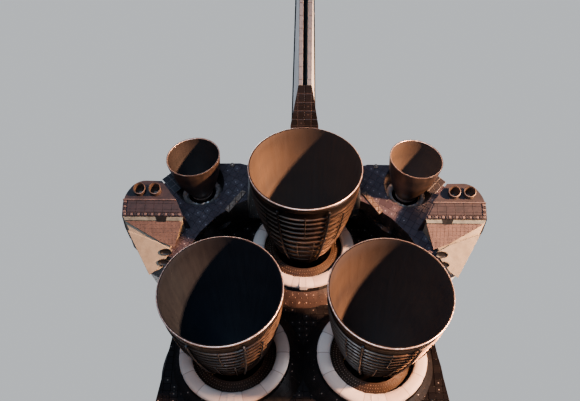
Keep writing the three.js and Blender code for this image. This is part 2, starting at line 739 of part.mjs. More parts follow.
// A round-ended cone about the gimbal that reaches past the shield.
function shieldSector(row, half, direction) {
  const far = SHIELD_RADIUS + 0.5;
  const profile = [[0, 0]];
  for (let i = 0; i <= 4; i++) {
    const turn = radians(half * (1 - i / 4));
    profile.push([far * Math.sin(turn), far * Math.cos(turn)]);
  }
  return turned(profile, 24, gimbalOf(row), direction);
}

// The angle from the engine axis at which a ball about the gimbal clears the bell by the gap.
function shieldFoot(radius) {
  const bellOutside = enginePoints().slice(BELL_STEPS + 1).reverse();
  let turn = 10;
  const clears = () => {
    const distance = radius * Math.cos(radians(turn));
    const next = bellOutside.findIndex(([, l]) => l > distance);
    const [[r0, l0], [r1, l1]] = [bellOutside[next - 1], bellOutside[next]];
    return radius * Math.sin(radians(turn)) > mix(r0, r1, (distance - l0) / (l1 - l0)) + 2 * GAP;
  };
  while (!clears()) turn += 0.01;
  return turn;
}

// The space the upper engine's shield swings in, under the fuselage top and the fin.
const shieldPocket = () => {
  const row = ENGINES[0];
  return shieldSector(row, UPPER_SHIELD_RIM + ENGINE_SWING + 1, engineDirection(row));
};

// Wing

const leadOf = (side) =>
  side < KINK_SIDE
    ? mix(GLOVE_START, GLOVE_END, (side - ROOT_SIDE) / (KINK_SIDE - ROOT_SIDE))
    : WING_SWEEP_START + side;
const chordWater = (side) => WING_WATER + side * Math.tan(radians(DIHEDRAL));
const trailOf = (side) => TRAILING_START - side * TRAILING_SLOPE;

// Thickness over chord of a symmetric section, at a share of the chord.
function sectionShape(u) {
  if (u <= 0 || u >= 1) return 0;
  const powers = [Math.sqrt(u), u, u ** 2, u ** 3, u ** 4];
  return [2.969, -1.26, -3.516, 2.843, -1.015].reduce((sum, factor, i) => sum + factor * powers[i], 0);
}

function wingThickness(side, station) {
  const lead = WING_SWEEP_START + side;
  const chord = trailOf(side) - lead;
  const main = WING_THICKNESS * chord * sectionShape((station - lead) / chord);
  return Math.max(main, gloveThickness(side, station - leadOf(side)), 0.4);
}

// The glove rounds up over its first 90 inches and then thickens slowly.
function gloveThickness(side, behind) {
  if (side >= KINK_SIDE || behind <= 0) return 0;
  return Math.min(12 * Math.sqrt(Math.min(1, behind / 90)) + behind * 0.022, 30);
}

// Share of the thickness that lies below the chord plane
const BELOW = 0.3;
const wingLow = (side, station) => chordWater(side) - BELOW * wingThickness(side, station);
const wingHigh = (side, station) => chordWater(side) + (1 - BELOW) * wingThickness(side, station);
const hingeWater = (side) => (wingLow(side, ELEVON_HINGE) + wingHigh(side, ELEVON_HINGE)) / 2;
const hingeHalf = (side) => wingThickness(side, ELEVON_HINGE) / 2;

const WING_STEPS = [0, 0.015, 0.06, 0.15, 0.32, 0.55, 0.8, 1];
const COVE_GAP = 1;
const COVE_TURN = 50;

function wingRing(side) {
  const lead = leadOf(side);
  const half = hingeHalf(side);
  const nose = elevonNose(side) + COVE_GAP;
  const lip = ELEVON_HINGE - nose * Math.cos(radians(COVE_TURN));
  const stations = WING_STEPS.map((share) => mix(lead, lip, share));
  const upper = stations.map((s) => at(s, side, wingHigh(side, s)));
  const lower = stations.slice(1).map((s) => at(s, side, wingLow(side, s))).reverse();
  const cove = [];
  for (let i = 0; i <= 4; i++) {
    const turn = radians(mix(COVE_TURN, -COVE_TURN, i / 4));
    const rise = Math.min(half - 0.3, nose) * Math.sin(turn);
    cove.push(at(ELEVON_HINGE - nose * Math.cos(turn), side, hingeWater(side) + rise));
  }
  return [...upper, ...cove, ...lower];
}

const elevonNose = (side) => hingeHalf(side) - 1.2;

const WING_SIDES = [70, ROOT_SIDE, 145, KINK_SIDE, 250, 340, 464, TIP_SIDE];

function wingSolid() {
  const rings = WING_SIDES.map((side) => {
    const inner = Math.max(side, ROOT_SIDE);
    const ring = wingRing(Math.min(inner, 464));
    if (side <= ROOT_SIDE) return ring.map((p) => p.clone().setX(side));
    if (side <= 464) return ring;
    const middle = at(leadOf(464) + 22, TIP_SIDE, chordWater(464) + 3);
    return ring.map((p) => at(mix(-p.y, -middle.y, 0.04), TIP_SIDE, mix(p.z, middle.z, 0.55)));
  });
  return loft(rings);
}

const MAIN_WELL = { from: 1052, to: 1200, inner: 110, outer: 163, roof: 8 };

function wingPieces() {
  const fuselage = joined(bodyHull(BAY_FRONT, HULL_END, -GAP), noseHull(470, -GAP));
  const whole = without(wingSolid(), fuselage, block([400, -10, 200], [1600, 71, 400]));
  const roof = (side) => wingHigh(side, MAIN_WELL.from) - MAIN_WELL.roof;
  const well = block(
    [MAIN_WELL.from, MAIN_WELL.inner, 230],
    [MAIN_WELL.to, MAIN_WELL.outer, Math.min(roof(MAIN_WELL.outer), 316)],
  );
  // The leading edge shell runs from the glove's middle to the tip.
  const edgeDepth = 15;
  const edgeSides = (grow) => [150 - grow, KINK_SIDE, 250, 330, 400, 462 + grow];
  const edgeCut = (grow) =>
    loft(
      edgeSides(grow).map((side) => {
        const back = leadOf(side) + (side < KINK_SIDE ? 36 : edgeDepth) + grow;
        return [
          at(leadOf(side) - 60, side, chordWater(side) - 40),
          at(back, side, chordWater(side) - 40),
          at(back, side, chordWater(side) + 60),
          at(leadOf(side) - 60, side, chordWater(side) + 60),
        ];
      }),
    );
  const split = ELEVONS[0].outer + (ELEVONS[1].inner - ELEVONS[0].outer) / 2;
  const arm = (side) => {
    const water = hingeWater(side);
    const half = ELEVON_ARM / 2;
    const thin = half - 0.35;
    return joined(
      block([ELEVON_HINGE - 20, side - thin, water - 4], [ELEVON_HINGE, side + thin, water + 4]),
      rod(...[side - half, side + half].map((s) => at(ELEVON_HINGE, s, hingeWater(s))), 4, 12),
    );
  };
  const tip = ELEVONS[1].outer + ELEVON_END_GAP + ELEVON_ARM / 2;
  const panel = joined(without(whole, edgeCut(GAP), well), arm(split), arm(tip));
  return { panel, edge: whole.intersect(edgeCut(0)) };
}

const ELEVONS = [
  { name: "inboard", inner: 132, outer: 310.8 },
  { name: "outboard", inner: 314, outer: 457.5 },
];
const ELEVON_ARM = 1.8;
const ELEVON_END_GAP = 0.7; // the ends swing sideways a little, because the hinge line rises outward

function elevon({ inner, outer }) {
  const ring = (side) => {
    const nose = elevonNose(side);
    const water = hingeWater(side);
    const points = [];
    for (let i = 0; i <= 10; i++) {
      const turn = radians(90 + 18 * i);
      points.push(at(ELEVON_HINGE + nose * Math.cos(turn), side, water + nose * Math.sin(turn)));
    }
    const trail = trailOf(side);
    points.push(at(trail, side, water - 1.4), at(trail, side, water + 1));
    return points;
  };
  const body = loft([inner, outer].map(ring));
  const ends = [[inner, -1], [outer, 1]].map(([side, sign]) => {
    const reach = [side - sign * 2, side + sign * (ELEVON_END_GAP - 2 * GAP)];
    return rod(...reach.map((s) => at(ELEVON_HINGE, s, hingeWater(s))), 2.2, 12);
  });
  return joined(body, ...ends);
}

// Fin and the split rudder

const finChord = (water) => FIN_ROOT_CHORD - FIN_CHORD_SLOPE * (water - FIN_ROOT_WATER);
const finSweep = (water) => FIN_LEAD_ROOT + (water - FIN_ROOT_WATER);
// The foot of the leading edge stays behind the doors.
const finLead = (water) => Math.max(finSweep(water), BAY_END + 3 + (water - FIN_ROOT_WATER) * 0.3);
const finTrail = (water) => finSweep(water) + finChord(water);
const finHinge = (water) => finSweep(water) + FIN_HINGE_SHARE * finChord(water);
const finHalf = (water) => (FIN_THICKNESS * finChord(water)) / 2;
const HINGE_STRETCH = 1.218; // a round section about the swept hinge line, cut level

function finFront(water) {
  const lead = finLead(water);
  const hinge = finHinge(water);
  const half = finHalf(water);
  const reach = (half - 1.2 + 0.6) * HINGE_STRETCH;
  const right = [
    at(lead, 0, water),
    at(lead + 1.5, 1.8, water),
    at(lead + 5, 3.1, water),
    at(mix(lead, hinge, 0.35), half * 0.52, water),
    at(mix(lead, hinge, 0.72), half * 0.87, water),
    at(hinge - reach * 0.5, half, water),
  ];
  for (const turn of [62, 40, 20])
    right.push(at(hinge - reach * Math.cos(radians(turn)), (half - 0.5) * Math.sin(radians(turn)), water));
  right.push(at(hinge - reach, 0, water));
  return closedRing(right);
}

const finRear = (water, edge, trail = finTrail(water)) => [
  at(finHinge(water) - 30, 0.9 * finHalf(water), water),
  at(finHinge(water), finHalf(water), water),
  at(trail, edge, water),
  at(trail, -edge, water),
  at(finHinge(water), -finHalf(water), water),
  at(finHinge(water) - 30, -0.9 * finHalf(water), water),
];

// The fixed foot of the fin's trailing edge widens downward and runs forward over the upper engine:
// water, half width, station
const FIN_FOOT = [
  [490, 14.2, 1474],
  [504, 14.1, 1482],
  [523, 13.7, 1520],
  [552, 12.4, 1555],
  [RUDDER_LOW - RUN, 5.8, 1583.5],
];

function fin() {
  const front = loft([490, 545, 660, 806, FIN_TIP_WATER].map(finFront));
  const low = loft(FIN_FOOT.map(([water, edge, trail]) => finRear(water, edge, trail)));
  const high = loft([[RUDDER_HIGH + 3.8, 1.6], [FIN_TIP_WATER, 1]].map(([w, edge]) => finRear(w, edge)));
  const hinge = rod(at(finHinge(560), 0, 560), at(finHinge(790), 0, 790), RUDDER_INSIDE - GAP, 8);
  return without(joined(front, low, high, hinge), bodyHull(1300, HULL_END, -GAP), shieldPocket());
}

const rudderNose = (water) => finHalf(water) - 1.2;

function rudderPanel() {
  const ring = (water) => {
    const hinge = finHinge(water);
    const round = (radius, turn) =>
      at(
        hinge - radius * HINGE_STRETCH * Math.cos(radians(turn)),
        radius * Math.sin(radians(turn)),
        water,
      );
    const turns = [66, 78, 90];
    const back = turns.map((turn) => round(rudderNose(water) - 1, turn)).reverse();
    return [
      ...turns.map((turn) => round(rudderNose(water), turn)),
      at(finTrail(water), RUDDER_EDGE_OUT, water),
      at(finTrail(water), RUDDER_EDGE_IN, water),
      at(hinge + 1.4, RUDDER_INSIDE, water),
      at(hinge, RUDDER_INSIDE, water),
      ...back,
    ];
  };
  return loft([ring(RUDDER_LOW), ring(RUDDER_HIGH)]);
}

// Orbital engine pods. Heights above the fuselage at angles about its axis, and their growth with station.
const POD_HEIGHTS = [
  [12, 3], [14.5, 8], [17.5, 46], [25, 61.5], [35, 59],
  [45, 54], [55, 45], [65, 31], [75, 15], [82, 3],
];
const POD_GROWTH = [
  [1309, 0.03], [1325, 0.2], [1360, 0.45], [1410, 0.72], [1470, 0.95], [1510, 1], [1541, 0.98],
];

function podRing([station, growth]) {
  const round = (radius, turn) =>
    at(station, radius * Math.cos(radians(turn)), BODY_AXIS_WATER + radius * Math.sin(radians(turn)));
  const outer = POD_HEIGHTS.map(([turn, height]) => round(BODY_RADIUS - 1 + growth * height, turn));
  const inner = [75, 50, 25].map((turn) => round(BAY_RADIUS, turn));
  return [...outer, ...inner];
}

const orbitalDirection = () => engineDirection(["", 0, 0, 0, ORBITAL_GIMBAL.pitch, ORBITAL_GIMBAL.yaw]);
const orbitalGimbal = () => at(ORBITAL_GIMBAL.station, ORBITAL_GIMBAL.side, ORBITAL_GIMBAL.water);

function pod() {
  const whole = loft(POD_GROWTH.map(podRing));
  const aroundEngine = (profile, segments) =>
    turned(profile, segments, orbitalGimbal(), orbitalDirection());
  const recess = aroundEngine([[0, -7], [11, -7], [12, 4], [34, 50], [0, 50]], 20);
  const seat = aroundEngine([[0, -12], [4, -12], [4, -3 - GAP], [0, -3 - GAP]], 12);
  const fuselage = bodyHull(1300, HULL_END, -GAP);
  const finSpace = block([1300, 0, 480], [1600, 15, 600]);
  const engineSpace = upPrism([[1476, 0], [1476, 30], [1500, 49], [1600, 49], [1600, 0]], 440, 600);
  return joined(without(whole, fuselage, recess, finSpace, engineSpace, housingSolid(-2 * GAP)), seat);
}

// Aft thruster housing outboard of the pod: rear outline as [side, water], then how it runs forward
const HOUSING_REAR = [[120.5, 490], [141.5, 490.5], [152, 475], [151.5, 457], [100.5, 457], [107, 471.5]];
const HOUSING_STATIONS = [[1565, 0, 0], [1541.5, 1, 0], [1512, 1.5, 3]];

function housingSolid(inset = 0) {
  const centre = [128, 470];
  const rings = HOUSING_STATIONS.map(([station, out, up]) =>
    HOUSING_REAR.map(([side, water]) =>
      at(
        station - Math.sign(station - 1541.5) * inset,
        side + out - Math.sign(side - centre[0]) * inset,
        water + up - Math.sign(water - centre[1]) * inset,
      ),
    ),
  );
  return loft(rings);
}

function thrusterHousing() {
  const whole = housingSolid();
  const keel = loft([
    [at(1541.5, 97, 458), at(1541.5, 150, 458), at(1541.5, 136, 433), at(1541.5, 108, 436)],
    [at(1564, 100, 457.5), at(1564, 151, 457.5), at(1562, 150, 455), at(1562, 100, 455)],
  ]);
  const ports = [[125.5, 480.8], [138.3, 480.8]].map(([side, water]) =>
    rod(at(1553, side, water), at(1570, side, water), 5, 12),
  );
  return without(joined(whole, keel), ...ports);
}

function orbitalNozzle() {
  const profile = bellProfile(ORBITAL_THROAT, ORBITAL_EXIT, 4, ORBITAL_EXIT_RADIUS, 0.9);
  const outline = [[0, ORBITAL_THROAT - 2], ...profile, [4.4, 4], [2.6, 2], [2.2, -2.2], [0, -3]];
  return turned(outline, 16, orbitalGimbal(), orbitalDirection());
}

// Landing gear

const SLOPE = Math.tan(radians(NOSE_DOWN));
const groundWater = (station) => MAIN_GROUND_WATER + (MAIN_GEAR.station - station) * SLOPE;
const axleWater = (gear) => groundWater(gear.station) + gear.tyre / Math.cos(radians(NOSE_DOWN));
const TYRE_SEGMENTS = 18;
const RIM_SEGMENTS = 12;

function tyre(gear, offset) {
  const { tyre: radius, width } = gear;
  const half = width / 2;
  const rim = (gear.rim + GAP) / Math.cos(Math.PI / TYRE_SEGMENTS);
  const reach = radius / Math.cos(Math.PI / TYRE_SEGMENTS);
  const profile = [
    [rim, -half * 0.6],
    [mix(rim, radius, 0.35), -half],
    [mix(rim, radius, 0.75), -half],
    [reach, -half * 0.6],
    [reach, half * 0.6],
    [mix(rim, radius, 0.75), half],
    [mix(rim, radius, 0.35), half],
    [rim, half * 0.6],
    [rim, -half * 0.6],
  ];
  const centre = at(gear.station, gear.side + offset, axleWater(gear));
  return turned(profile, TYRE_SEGMENTS, centre, RIGHT, radians(NOSE_DOWN) + Math.PI / TYRE_SEGMENTS);
}

function rims(gear, lug) {
  const far = gear.spacing / 2;
  const half = gear.width * 0.3;
  const r = gear.rim;
  const right = [
    [2.4, 0],
    [2.4, lug + GAP],
    [4, lug + GAP],
    [4, far - half],
    [r, far - half],
    [r, far + half],
    [r * 0.8, far + half],
    [r * 0.7, far + half * 0.5],
    [3.4, far + half * 0.5],
    [2.8, far + half * 1.2],
    [0, far + half * 1.2],
  ];
  const left = right.slice(1).map(([radius, distance]) => [radius, -distance]).reverse();
  const centre = at(gear.station, gear.side, axleWater(gear));
  return turned([...left, ...right.slice(1)], RIM_SEGMENTS, centre, RIGHT);
}

const MAIN_LUG = 5;
const NOSE_LUG = 3;

function mainStrut() {
  const { station, side } = MAIN_GEAR;
  const water = axleWater(MAIN_GEAR);
  const leg = joined(
    rod(at(station, side, water + 4), at(station, side, 226), 5, 12),
    rod(at(station, side, 224), at(station, side, 312), 7.2, 12),
    rod(at(station, MAIN_WELL.inner + GAP, 304), at(station, MAIN_WELL.outer - GAP, 304), 4, 12),
    rod(at(station - 5, side, 246), at(station - 70, side, 300), 3, 10),
    rod(at(station + 8, side, 222), at(station + 5, side, water + 8), 1.4, 8),
    block([station, side - 2, 226], [station + 10, side + 2, 231]),
    block([station, side - 2, water + 4], [station + 7, side + 2, water + 9]),
    rod(at(station, side - MAIN_LUG, water), at(station, side + MAIN_LUG, water), 6, 12),
  );
  return without(leg, rod(at(station, side - 20, water), at(station, side + 20, water), 2.7, 16));
}

function noseStrut() {
  const { station } = NOSE_GEAR;
  return joined(
    rod(at(station, 0, 244), at(station, 0, 321), 5.4, 12),
    rod(at(station, GAP - NOSE_WELL.half, 312), at(station, NOSE_WELL.half - GAP, 312), 3.4, 12),
    rod(at(station - 4, 0, 262), at(station - 56, 0, 316), 2.6, 10),
    rod(at(station, 0, 246), at(station, 0, 252), 7, 12),
  );
}

function noseFork() {
  const { station } = NOSE_GEAR;
  const water = axleWater(NOSE_GEAR);
  const leg = joined(
    rod(at(station, 0, water + 3), at(station, 0, water + 6), 2.8, 12),
    rod(at(station, 0, water + 4.8), at(station, 0, 244 - GAP), 3.8, 12),
    rod(at(station, 0, 239), at(station, 0, 244 - GAP), 6.5, 12),
    rod(at(station - 7, 0, 241), at(station - 4, 0, water + 6), 1.1, 8),
    block([station - 9, -1.6, 239.5], [station, 1.6, 242.5]),
    block([station - 6, -1.6, water + 4], [station, 1.6, water + 8]),
    rod(at(station, -NOSE_LUG, water), at(station, NOSE_LUG, water), 4.4, 12),
  );
  return without(leg, rod(at(station, -20, water), at(station, 20, water), 2.7, 16));
}

// The nose gear door on the right, hanging open from the edge of its well.
function noseDoor() {
  const hinge = NOSE_WELL.half + 0.6;
  const low = 262;
  const bottom = (station) => rowAt(NOSE_SECTIONS, station)[3];
  const plate = loft(
    [NOSE_WELL.from + 1, NOSE_WELL.to - 1].map((s) => [
      at(s, hinge, bottom(s) - 0.6),
      at(s, hinge + 1.6, bottom(s) - 0.6),
      at(s, hinge + 4.6, low),
      at(s, hinge + 3.2, low),
    ]),
  );
  const arms = [NOSE_WELL.from + 14, NOSE_WELL.to - 14].flatMap((s) => [
    block([s - 2, NOSE_WELL.half - 3, bottom(s) - 4], [s + 2, hinge + 1, bottom(s) - 1.4]),
    block([s - 2, NOSE_WELL.half - 3, bottom(s) - 4], [s + 2, NOSE_WELL.half - GAP, bottom(s) + 5]),
  ]);
  return joined(plate, ...arms);
}

// The right main gear door, hanging open outboard of the wheels.
function mainDoor() {
  const hinge = MAIN_WELL.outer + 0.8;
  const low = 218;
  const bottom = (station) => wingLow(MAIN_WELL.outer, station);
  const stations = [MAIN_WELL.from + 2, 1110, MAIN_WELL.to - 2];
  const plate = loft(
    stations.map((s) => [
      at(s, hinge, bottom(s) - 0.8),
      at(s, hinge + 2.4, bottom(s) - 0.8),
      at(s, hinge + 11, low),
      at(s, hinge + 8.8, low),
    ]),
  );
  const arms = [MAIN_WELL.from + 24, MAIN_WELL.to - 24].flatMap((s) => [
    block([s - 3, MAIN_WELL.outer - 4, bottom(s) - 5], [s + 3, hinge + 1.4, bottom(s) - 1.6]),
    block([s - 3, MAIN_WELL.outer - 4, bottom(s) - 5], [s + 3, MAIN_WELL.outer - GAP, bottom(s) + 8]),
  ]);
  return joined(plate, ...arms);
}

// Assembly

const orbiter = new THREE.Group();

function finish(name) {
  const [color, roughness, metalness] = FINISH[name];
  return new THREE.MeshStandardMaterial({ color, roughness, metalness });
}

function place(name, made, look) {
  const geometry = geometryOf(made).scale(INCH_MM, INCH_MM, INCH_MM);
  const mesh = new THREE.Mesh(geometry, finish(look));
  mesh.name = name;
  orbiter.add(mesh);
}

function pair(name, made, look) {
  place("right_" + name, made, look);
  place("left_" + name, flipped(made), look);
}

const forward = forwardPieces();
place("nose_cap", noseCap(), "greyCarbon");
place("forward_fuselage", forward.fuselage, "whiteBlanket");
place("forward_thruster_module", forward.module, "whiteBlanket");
place("windshield_glass", forward.glass, "glass");
place("crew_hatch", forward.hatch, "whiteBlanket");
place("flight_deck", flightDeck(), "cabinGrey");
place("crew_bulkhead", bulkhead(), "bayLiner");

const lugs = doorLugs();
const notches = doorNotches();
place(
  "mid_fuselage",
  joined(without(midFuselage(), ...notches, ...notches.map(flipped)), ...lugs, ...lugs.map(flipped)),
  "whiteBlanket",
);
pair("payload_bay_door", bayDoor(), "whiteBlanket");

place("aft_fuselage", aftFuselage(), "whiteBlanket");
place("base_heat_shield", baseHeatShield(), "blackTile");
place("body_flap", bodyFlap(), "blackTile");
pair("umbilical_door", umbilicalDoor(), "blackTile");

for (const row of ENGINES) {
  place("closeout_ring_" + row[0], ringSolid(row), "pinkBlanket");
  place("engine_shield_" + row[0], engineShield(row), "shieldBrown");
  place("main_engine_" + row[0], engineBody(row), "nozzleSteel");
}

const wing = wingPieces();
pair("wing", wing.panel, "whiteBlanket");
pair("wing_leading_edge", wing.edge, "greyCarbon");
for (const row of ELEVONS) pair(row.name + "_elevon", elevon(row), "blackTile");

place("vertical_stabilizer", fin(), "whiteBlanket");
pair("rudder_panel", rudderPanel(), "whiteBlanket");

pair("orbital_engine_pod", pod(), "blackTile");
pair("aft_thruster_housing", thrusterHousing(), "tileBrown");
pair("orbital_engine_nozzle", orbitalNozzle(), "nozzleSteel");

place("nose_strut", noseStrut(), "gearWhite");
place("nose_fork", noseFork(), "gearWhite");
place("nose_wheel_rims", rims(NOSE_GEAR, NOSE_LUG), "rimMetal");
place("right_nose_tyre", tyre(NOSE_GEAR, NOSE_GEAR.spacing / 2), "tyreRubber");
place("left_nose_tyre", tyre(NOSE_GEAR, -NOSE_GEAR.spacing / 2), "tyreRubber");
pair("nose_gear_door", noseDoor(), "blackTile");

pair("main_strut", mainStrut(), "gearWhite");
pair("main_wheel_rims", rims(MAIN_GEAR, MAIN_LUG), "rimMetal");
pair("main_outer_tyre", tyre(MAIN_GEAR, MAIN_GEAR.spacing / 2), "tyreRubber");
pair("main_inner_tyre", tyre(MAIN_GEAR, -MAIN_GEAR.spacing / 2), "tyreRubber");
pair("main_gear_door", mainDoor(), "blackTile");

// The airframe stands nose down on its wheels, with the floor at height 0 and the middle of its box over
// the origin.
const tilt = radians(NOSE_DOWN);
orbiter.rotation.x = -tilt;
const mainForward = -MAIN_GEAR.station * INCH_MM;
const mainGround = MAIN_GROUND_WATER * INCH_MM;
orbiter.position.set(
  0,
  -BOX_MIDDLE_FROM_MAIN - (mainForward * Math.cos(tilt) + mainGround * Math.sin(tilt)),
  mainForward * Math.sin(tilt) - mainGround * Math.cos(tilt),
);

const vehicle = new THREE.Group();
vehicle.add(orbiter);
export default vehicle;
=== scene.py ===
import json
import math
import random
from math import atan2, cos, pi, radians, sin

import bmesh
import bpy
from mathutils import Matrix, Vector

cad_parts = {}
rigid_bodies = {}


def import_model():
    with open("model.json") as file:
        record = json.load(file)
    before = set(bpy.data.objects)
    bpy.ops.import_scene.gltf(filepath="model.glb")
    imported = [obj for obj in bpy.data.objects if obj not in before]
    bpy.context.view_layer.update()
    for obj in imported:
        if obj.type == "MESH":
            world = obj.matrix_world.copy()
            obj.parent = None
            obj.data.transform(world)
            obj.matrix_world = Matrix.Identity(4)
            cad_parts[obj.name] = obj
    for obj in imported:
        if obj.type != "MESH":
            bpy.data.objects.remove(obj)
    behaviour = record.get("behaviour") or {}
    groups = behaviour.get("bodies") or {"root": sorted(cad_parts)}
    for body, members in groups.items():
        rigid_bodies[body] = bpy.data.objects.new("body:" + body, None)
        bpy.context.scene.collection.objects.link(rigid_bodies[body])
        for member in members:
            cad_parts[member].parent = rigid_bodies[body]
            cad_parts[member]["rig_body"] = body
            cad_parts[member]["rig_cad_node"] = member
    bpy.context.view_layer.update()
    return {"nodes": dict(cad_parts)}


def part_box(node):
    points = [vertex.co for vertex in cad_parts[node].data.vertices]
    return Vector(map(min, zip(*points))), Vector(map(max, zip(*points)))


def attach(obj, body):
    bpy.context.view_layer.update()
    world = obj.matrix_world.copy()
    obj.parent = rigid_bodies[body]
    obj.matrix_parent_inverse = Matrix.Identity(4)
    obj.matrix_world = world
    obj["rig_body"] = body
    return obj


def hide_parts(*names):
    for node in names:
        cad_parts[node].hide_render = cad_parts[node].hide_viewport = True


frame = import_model()
bpy.ops.object.select_all(action="DESELECT")

# The airframe's own measures: inches aft of a datum (station), to the right (side) and up (water).
INCH = 0.0254
NOSE_DOWN = radians(3)
AIRFRAME = (
    Matrix.Translation((0, 23.81628, -5.64178))
    @ Matrix.Rotation(-NOSE_DOWN, 4, "X")
    @ Matrix.Scale(INCH, 4)
)
TO_INCHES = AIRFRAME.inverted()
UP = Vector((0, 0, 1))

# name, gimbal station, side, water, pitch and yaw
MAIN_ENGINES = (
    ("1", 1445, 0, 443, 16, 0),
    ("2", 1468.17, -53, 342.64, 10, -3.5),
    ("3", 1468.17, 53, 342.64, 10, 3.5),
)
ORBITAL_ENGINES = (("right", 1518, 88, 492, 15.8, 6.5), ("left", 1518, -88, 492, 15.8, -6.5))
SIDES = (("right", 1), ("left", -1))


def at(station, side, water):
    return Vector((side, -station, water))


def engine_axis(pitch, yaw):
    pitch, yaw = radians(pitch), radians(yaw)
    return Vector((
        sin(yaw) * cos(pitch),
        -cos(yaw) * cos(pitch),
        sin(pitch),
    ))


def axis_frame(place, axis, up=UP):
    """A frame in airframe inches whose z runs along an axis and whose y points up."""
    z = axis.normalized()
    x = up.cross(z).normalized()
    y = z.cross(x)
    turn = Matrix((x, y, z)).transposed().to_4x4()
    return AIRFRAME @ Matrix.Translation(place) @ turn


def engine_frame(row):
    _, station, side, water, pitch, yaw = row
    return axis_frame(at(station, side, water), engine_axis(pitch, yaw))


# Working with Blender's operators


def active():
    return bpy.context.view_layer.objects.active


def only(*objects):
    bpy.ops.object.select_all(action="DESELECT")
    for obj in objects:
        obj.select_set(True)
    bpy.context.view_layer.objects.active = objects[0]


def open_mesh(obj, kind="FACE"):
    """Edit mode, with everything selected."""
    only(obj)
    bpy.ops.object.mode_set(mode="EDIT")
    bpy.ops.mesh.select_mode(type=kind)
    bpy.ops.mesh.select_all(action="SELECT")


def close_mesh():
    bpy.ops.object.mode_set(mode="OBJECT")


def pick(test):
    """In edit mode, selects the faces whose middle and normal pass a test."""
    mesh = bmesh.from_edit_mesh(bpy.context.edit_object.data)
    mesh.normal_update()
    for face in mesh.faces:
        face.select_set(bool(test(face.calc_center_median(), face.normal)))
    mesh.select_flush_mode()
    bmesh.update_edit_mesh(bpy.context.edit_object.data)


def pick_points(test):
    """In edit mode, selects the points whose place passes a test."""
    mesh = bmesh.from_edit_mesh(bpy.context.edit_object.data)
    for vert in mesh.verts:
        vert.select_set(bool(test(vert.co)))
    mesh.select_flush_mode()
    bmesh.update_edit_mesh(bpy.context.edit_object.data)


def worked(obj, step, test=None, kind="FACE", **settings):
    """One step in edit mode, on everything or on the faces that pass a test."""
    open_mesh(obj, kind)
    if test:
        pick(test)
    step(**settings)
    close_mesh()


def two_looks(obj, look, other_look, test):
    """Two materials, the second on the faces that pass a test."""
    obj.data.materials.clear()
    obj.data.materials.append(look)
    obj.data.materials.append(other_look)
    open_mesh(obj)
    pick(test)
    obj.active_material_index = 1
    bpy.ops.object.material_slot_assign()
    close_mesh()


def smooth(obj, degrees=35):
    only(obj)
    bpy.ops.object.shade_smooth_by_angle(angle=radians(degrees))


def apply_modifier(obj, kind, **settings):
    only(obj)
    bpy.ops.object.modifier_add(type=kind)
    modifier = obj.modifiers[-1]
    for key, value in settings.items():
        setattr(modifier, key, value)
    bpy.ops.object.modifier_apply(modifier=modifier.name)


def settle(obj, place):
    """Puts a piece where a frame says, and leaves its object at the origin."""
    only(obj)
    obj.matrix_world = place @ obj.matrix_world
    bpy.ops.object.transform_apply()


def finished(obj, name, body, look, replaces=()):
    obj.name = name
    obj.data.name = name
    if look:
        obj.data.materials.clear()
        obj.data.materials.append(look)
    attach(obj, body)
    if replaces:
        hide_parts(*replaces)
    return obj


def copied(obj):
    only(obj)
    bpy.ops.object.duplicate()
    return active()


def mirrored(obj):
    made = copied(obj)
    settle(made, Matrix.Scale(-1, 4, (1, 0, 0)))
    worked(made, bpy.ops.mesh.normals_make_consistent, inside=False)
    return made


def joined(objects):
    only(*objects)
    bpy.ops.object.join()
    return active()


def built(pieces, name, look):
    """Joins pieces in airframe inches into one that rides the airframe."""
    whole = joined(pieces)
    settle(whole, AIRFRAME)
    return finished(whole, name, "airframe", look)


def pair(obj, name, body, look, replaces=()):
    """A right-hand piece and its mirrored copy. Body and nodes are named without their side."""
    other = mirrored(obj)
    for piece, side in ((obj, "right"), (other, "left")):
        own_body = body.replace("SIDE", side)
        nodes = [side + "_" + node for node in replaces]
        finished(piece, side + "_" + name, own_body, look, nodes)


# Shapes


def turned(profile, sides=64, smooth_angle=35):
    """A circle of points about z, extruded and resized from one radius and height to the next."""
    least = 0.002
    radius, height = profile[0]
    bpy.ops.mesh.primitive_circle_add(vertices=sides, radius=max(radius, least), fill_type="NOTHING")
    obj = active()
    open_mesh(obj, "VERT")
    bpy.ops.transform.translate(value=(0, 0, height))
    for next_radius, next_height in profile[1:]:
        bpy.ops.mesh.extrude_region_move(
            TRANSFORM_OT_translate={"value": (0, 0, next_height - height)}
        )
        share = max(next_radius, least) / max(radius, least)
        bpy.ops.transform.resize(value=(share, share, 1), center_override=(0, 0, next_height))
        radius, height = next_radius, next_height
    bpy.ops.mesh.select_all(action="SELECT")
    bpy.ops.mesh.remove_doubles(threshold=0.006)
    bpy.ops.mesh.normals_make_consistent(inside=False)
    close_mesh()
    smooth(obj, smooth_angle)
    return obj


def arc(radius, low, high, steps):
    """Points on a ball, from one angle off its axis to another."""
    turns = (radians(low + (high - low) * i / steps) for i in range(steps + 1))
    return [(radius * sin(t), radius * cos(t)) for t in turns]


def rolled(radius, height, thick, steps):
    """The outline of a round bead."""
    turns = (2 * pi * i / steps for i in range(steps + 1))
    return [(radius + thick * cos(t), height + thick * sin(t)) for t in turns]


def wrap(obj, length):
    """A UV map that runs once round the z axis, and along it by a length."""
    layer = obj.data.uv_layers.new(name="wrap")
    full = 2 * pi
    for face in obj.data.polygons:
        middle = atan2(face.center.y, face.center.x)
        for loop in face.loop_indices:
            point = obj.data.vertices[obj.data.loops[loop].vertex_index].co
            turn = atan2(point.y, point.x)
            turn += full * round((middle - turn) / full)
            layer.data[loop].uv = (turn / full + 0.5, point.z / length)


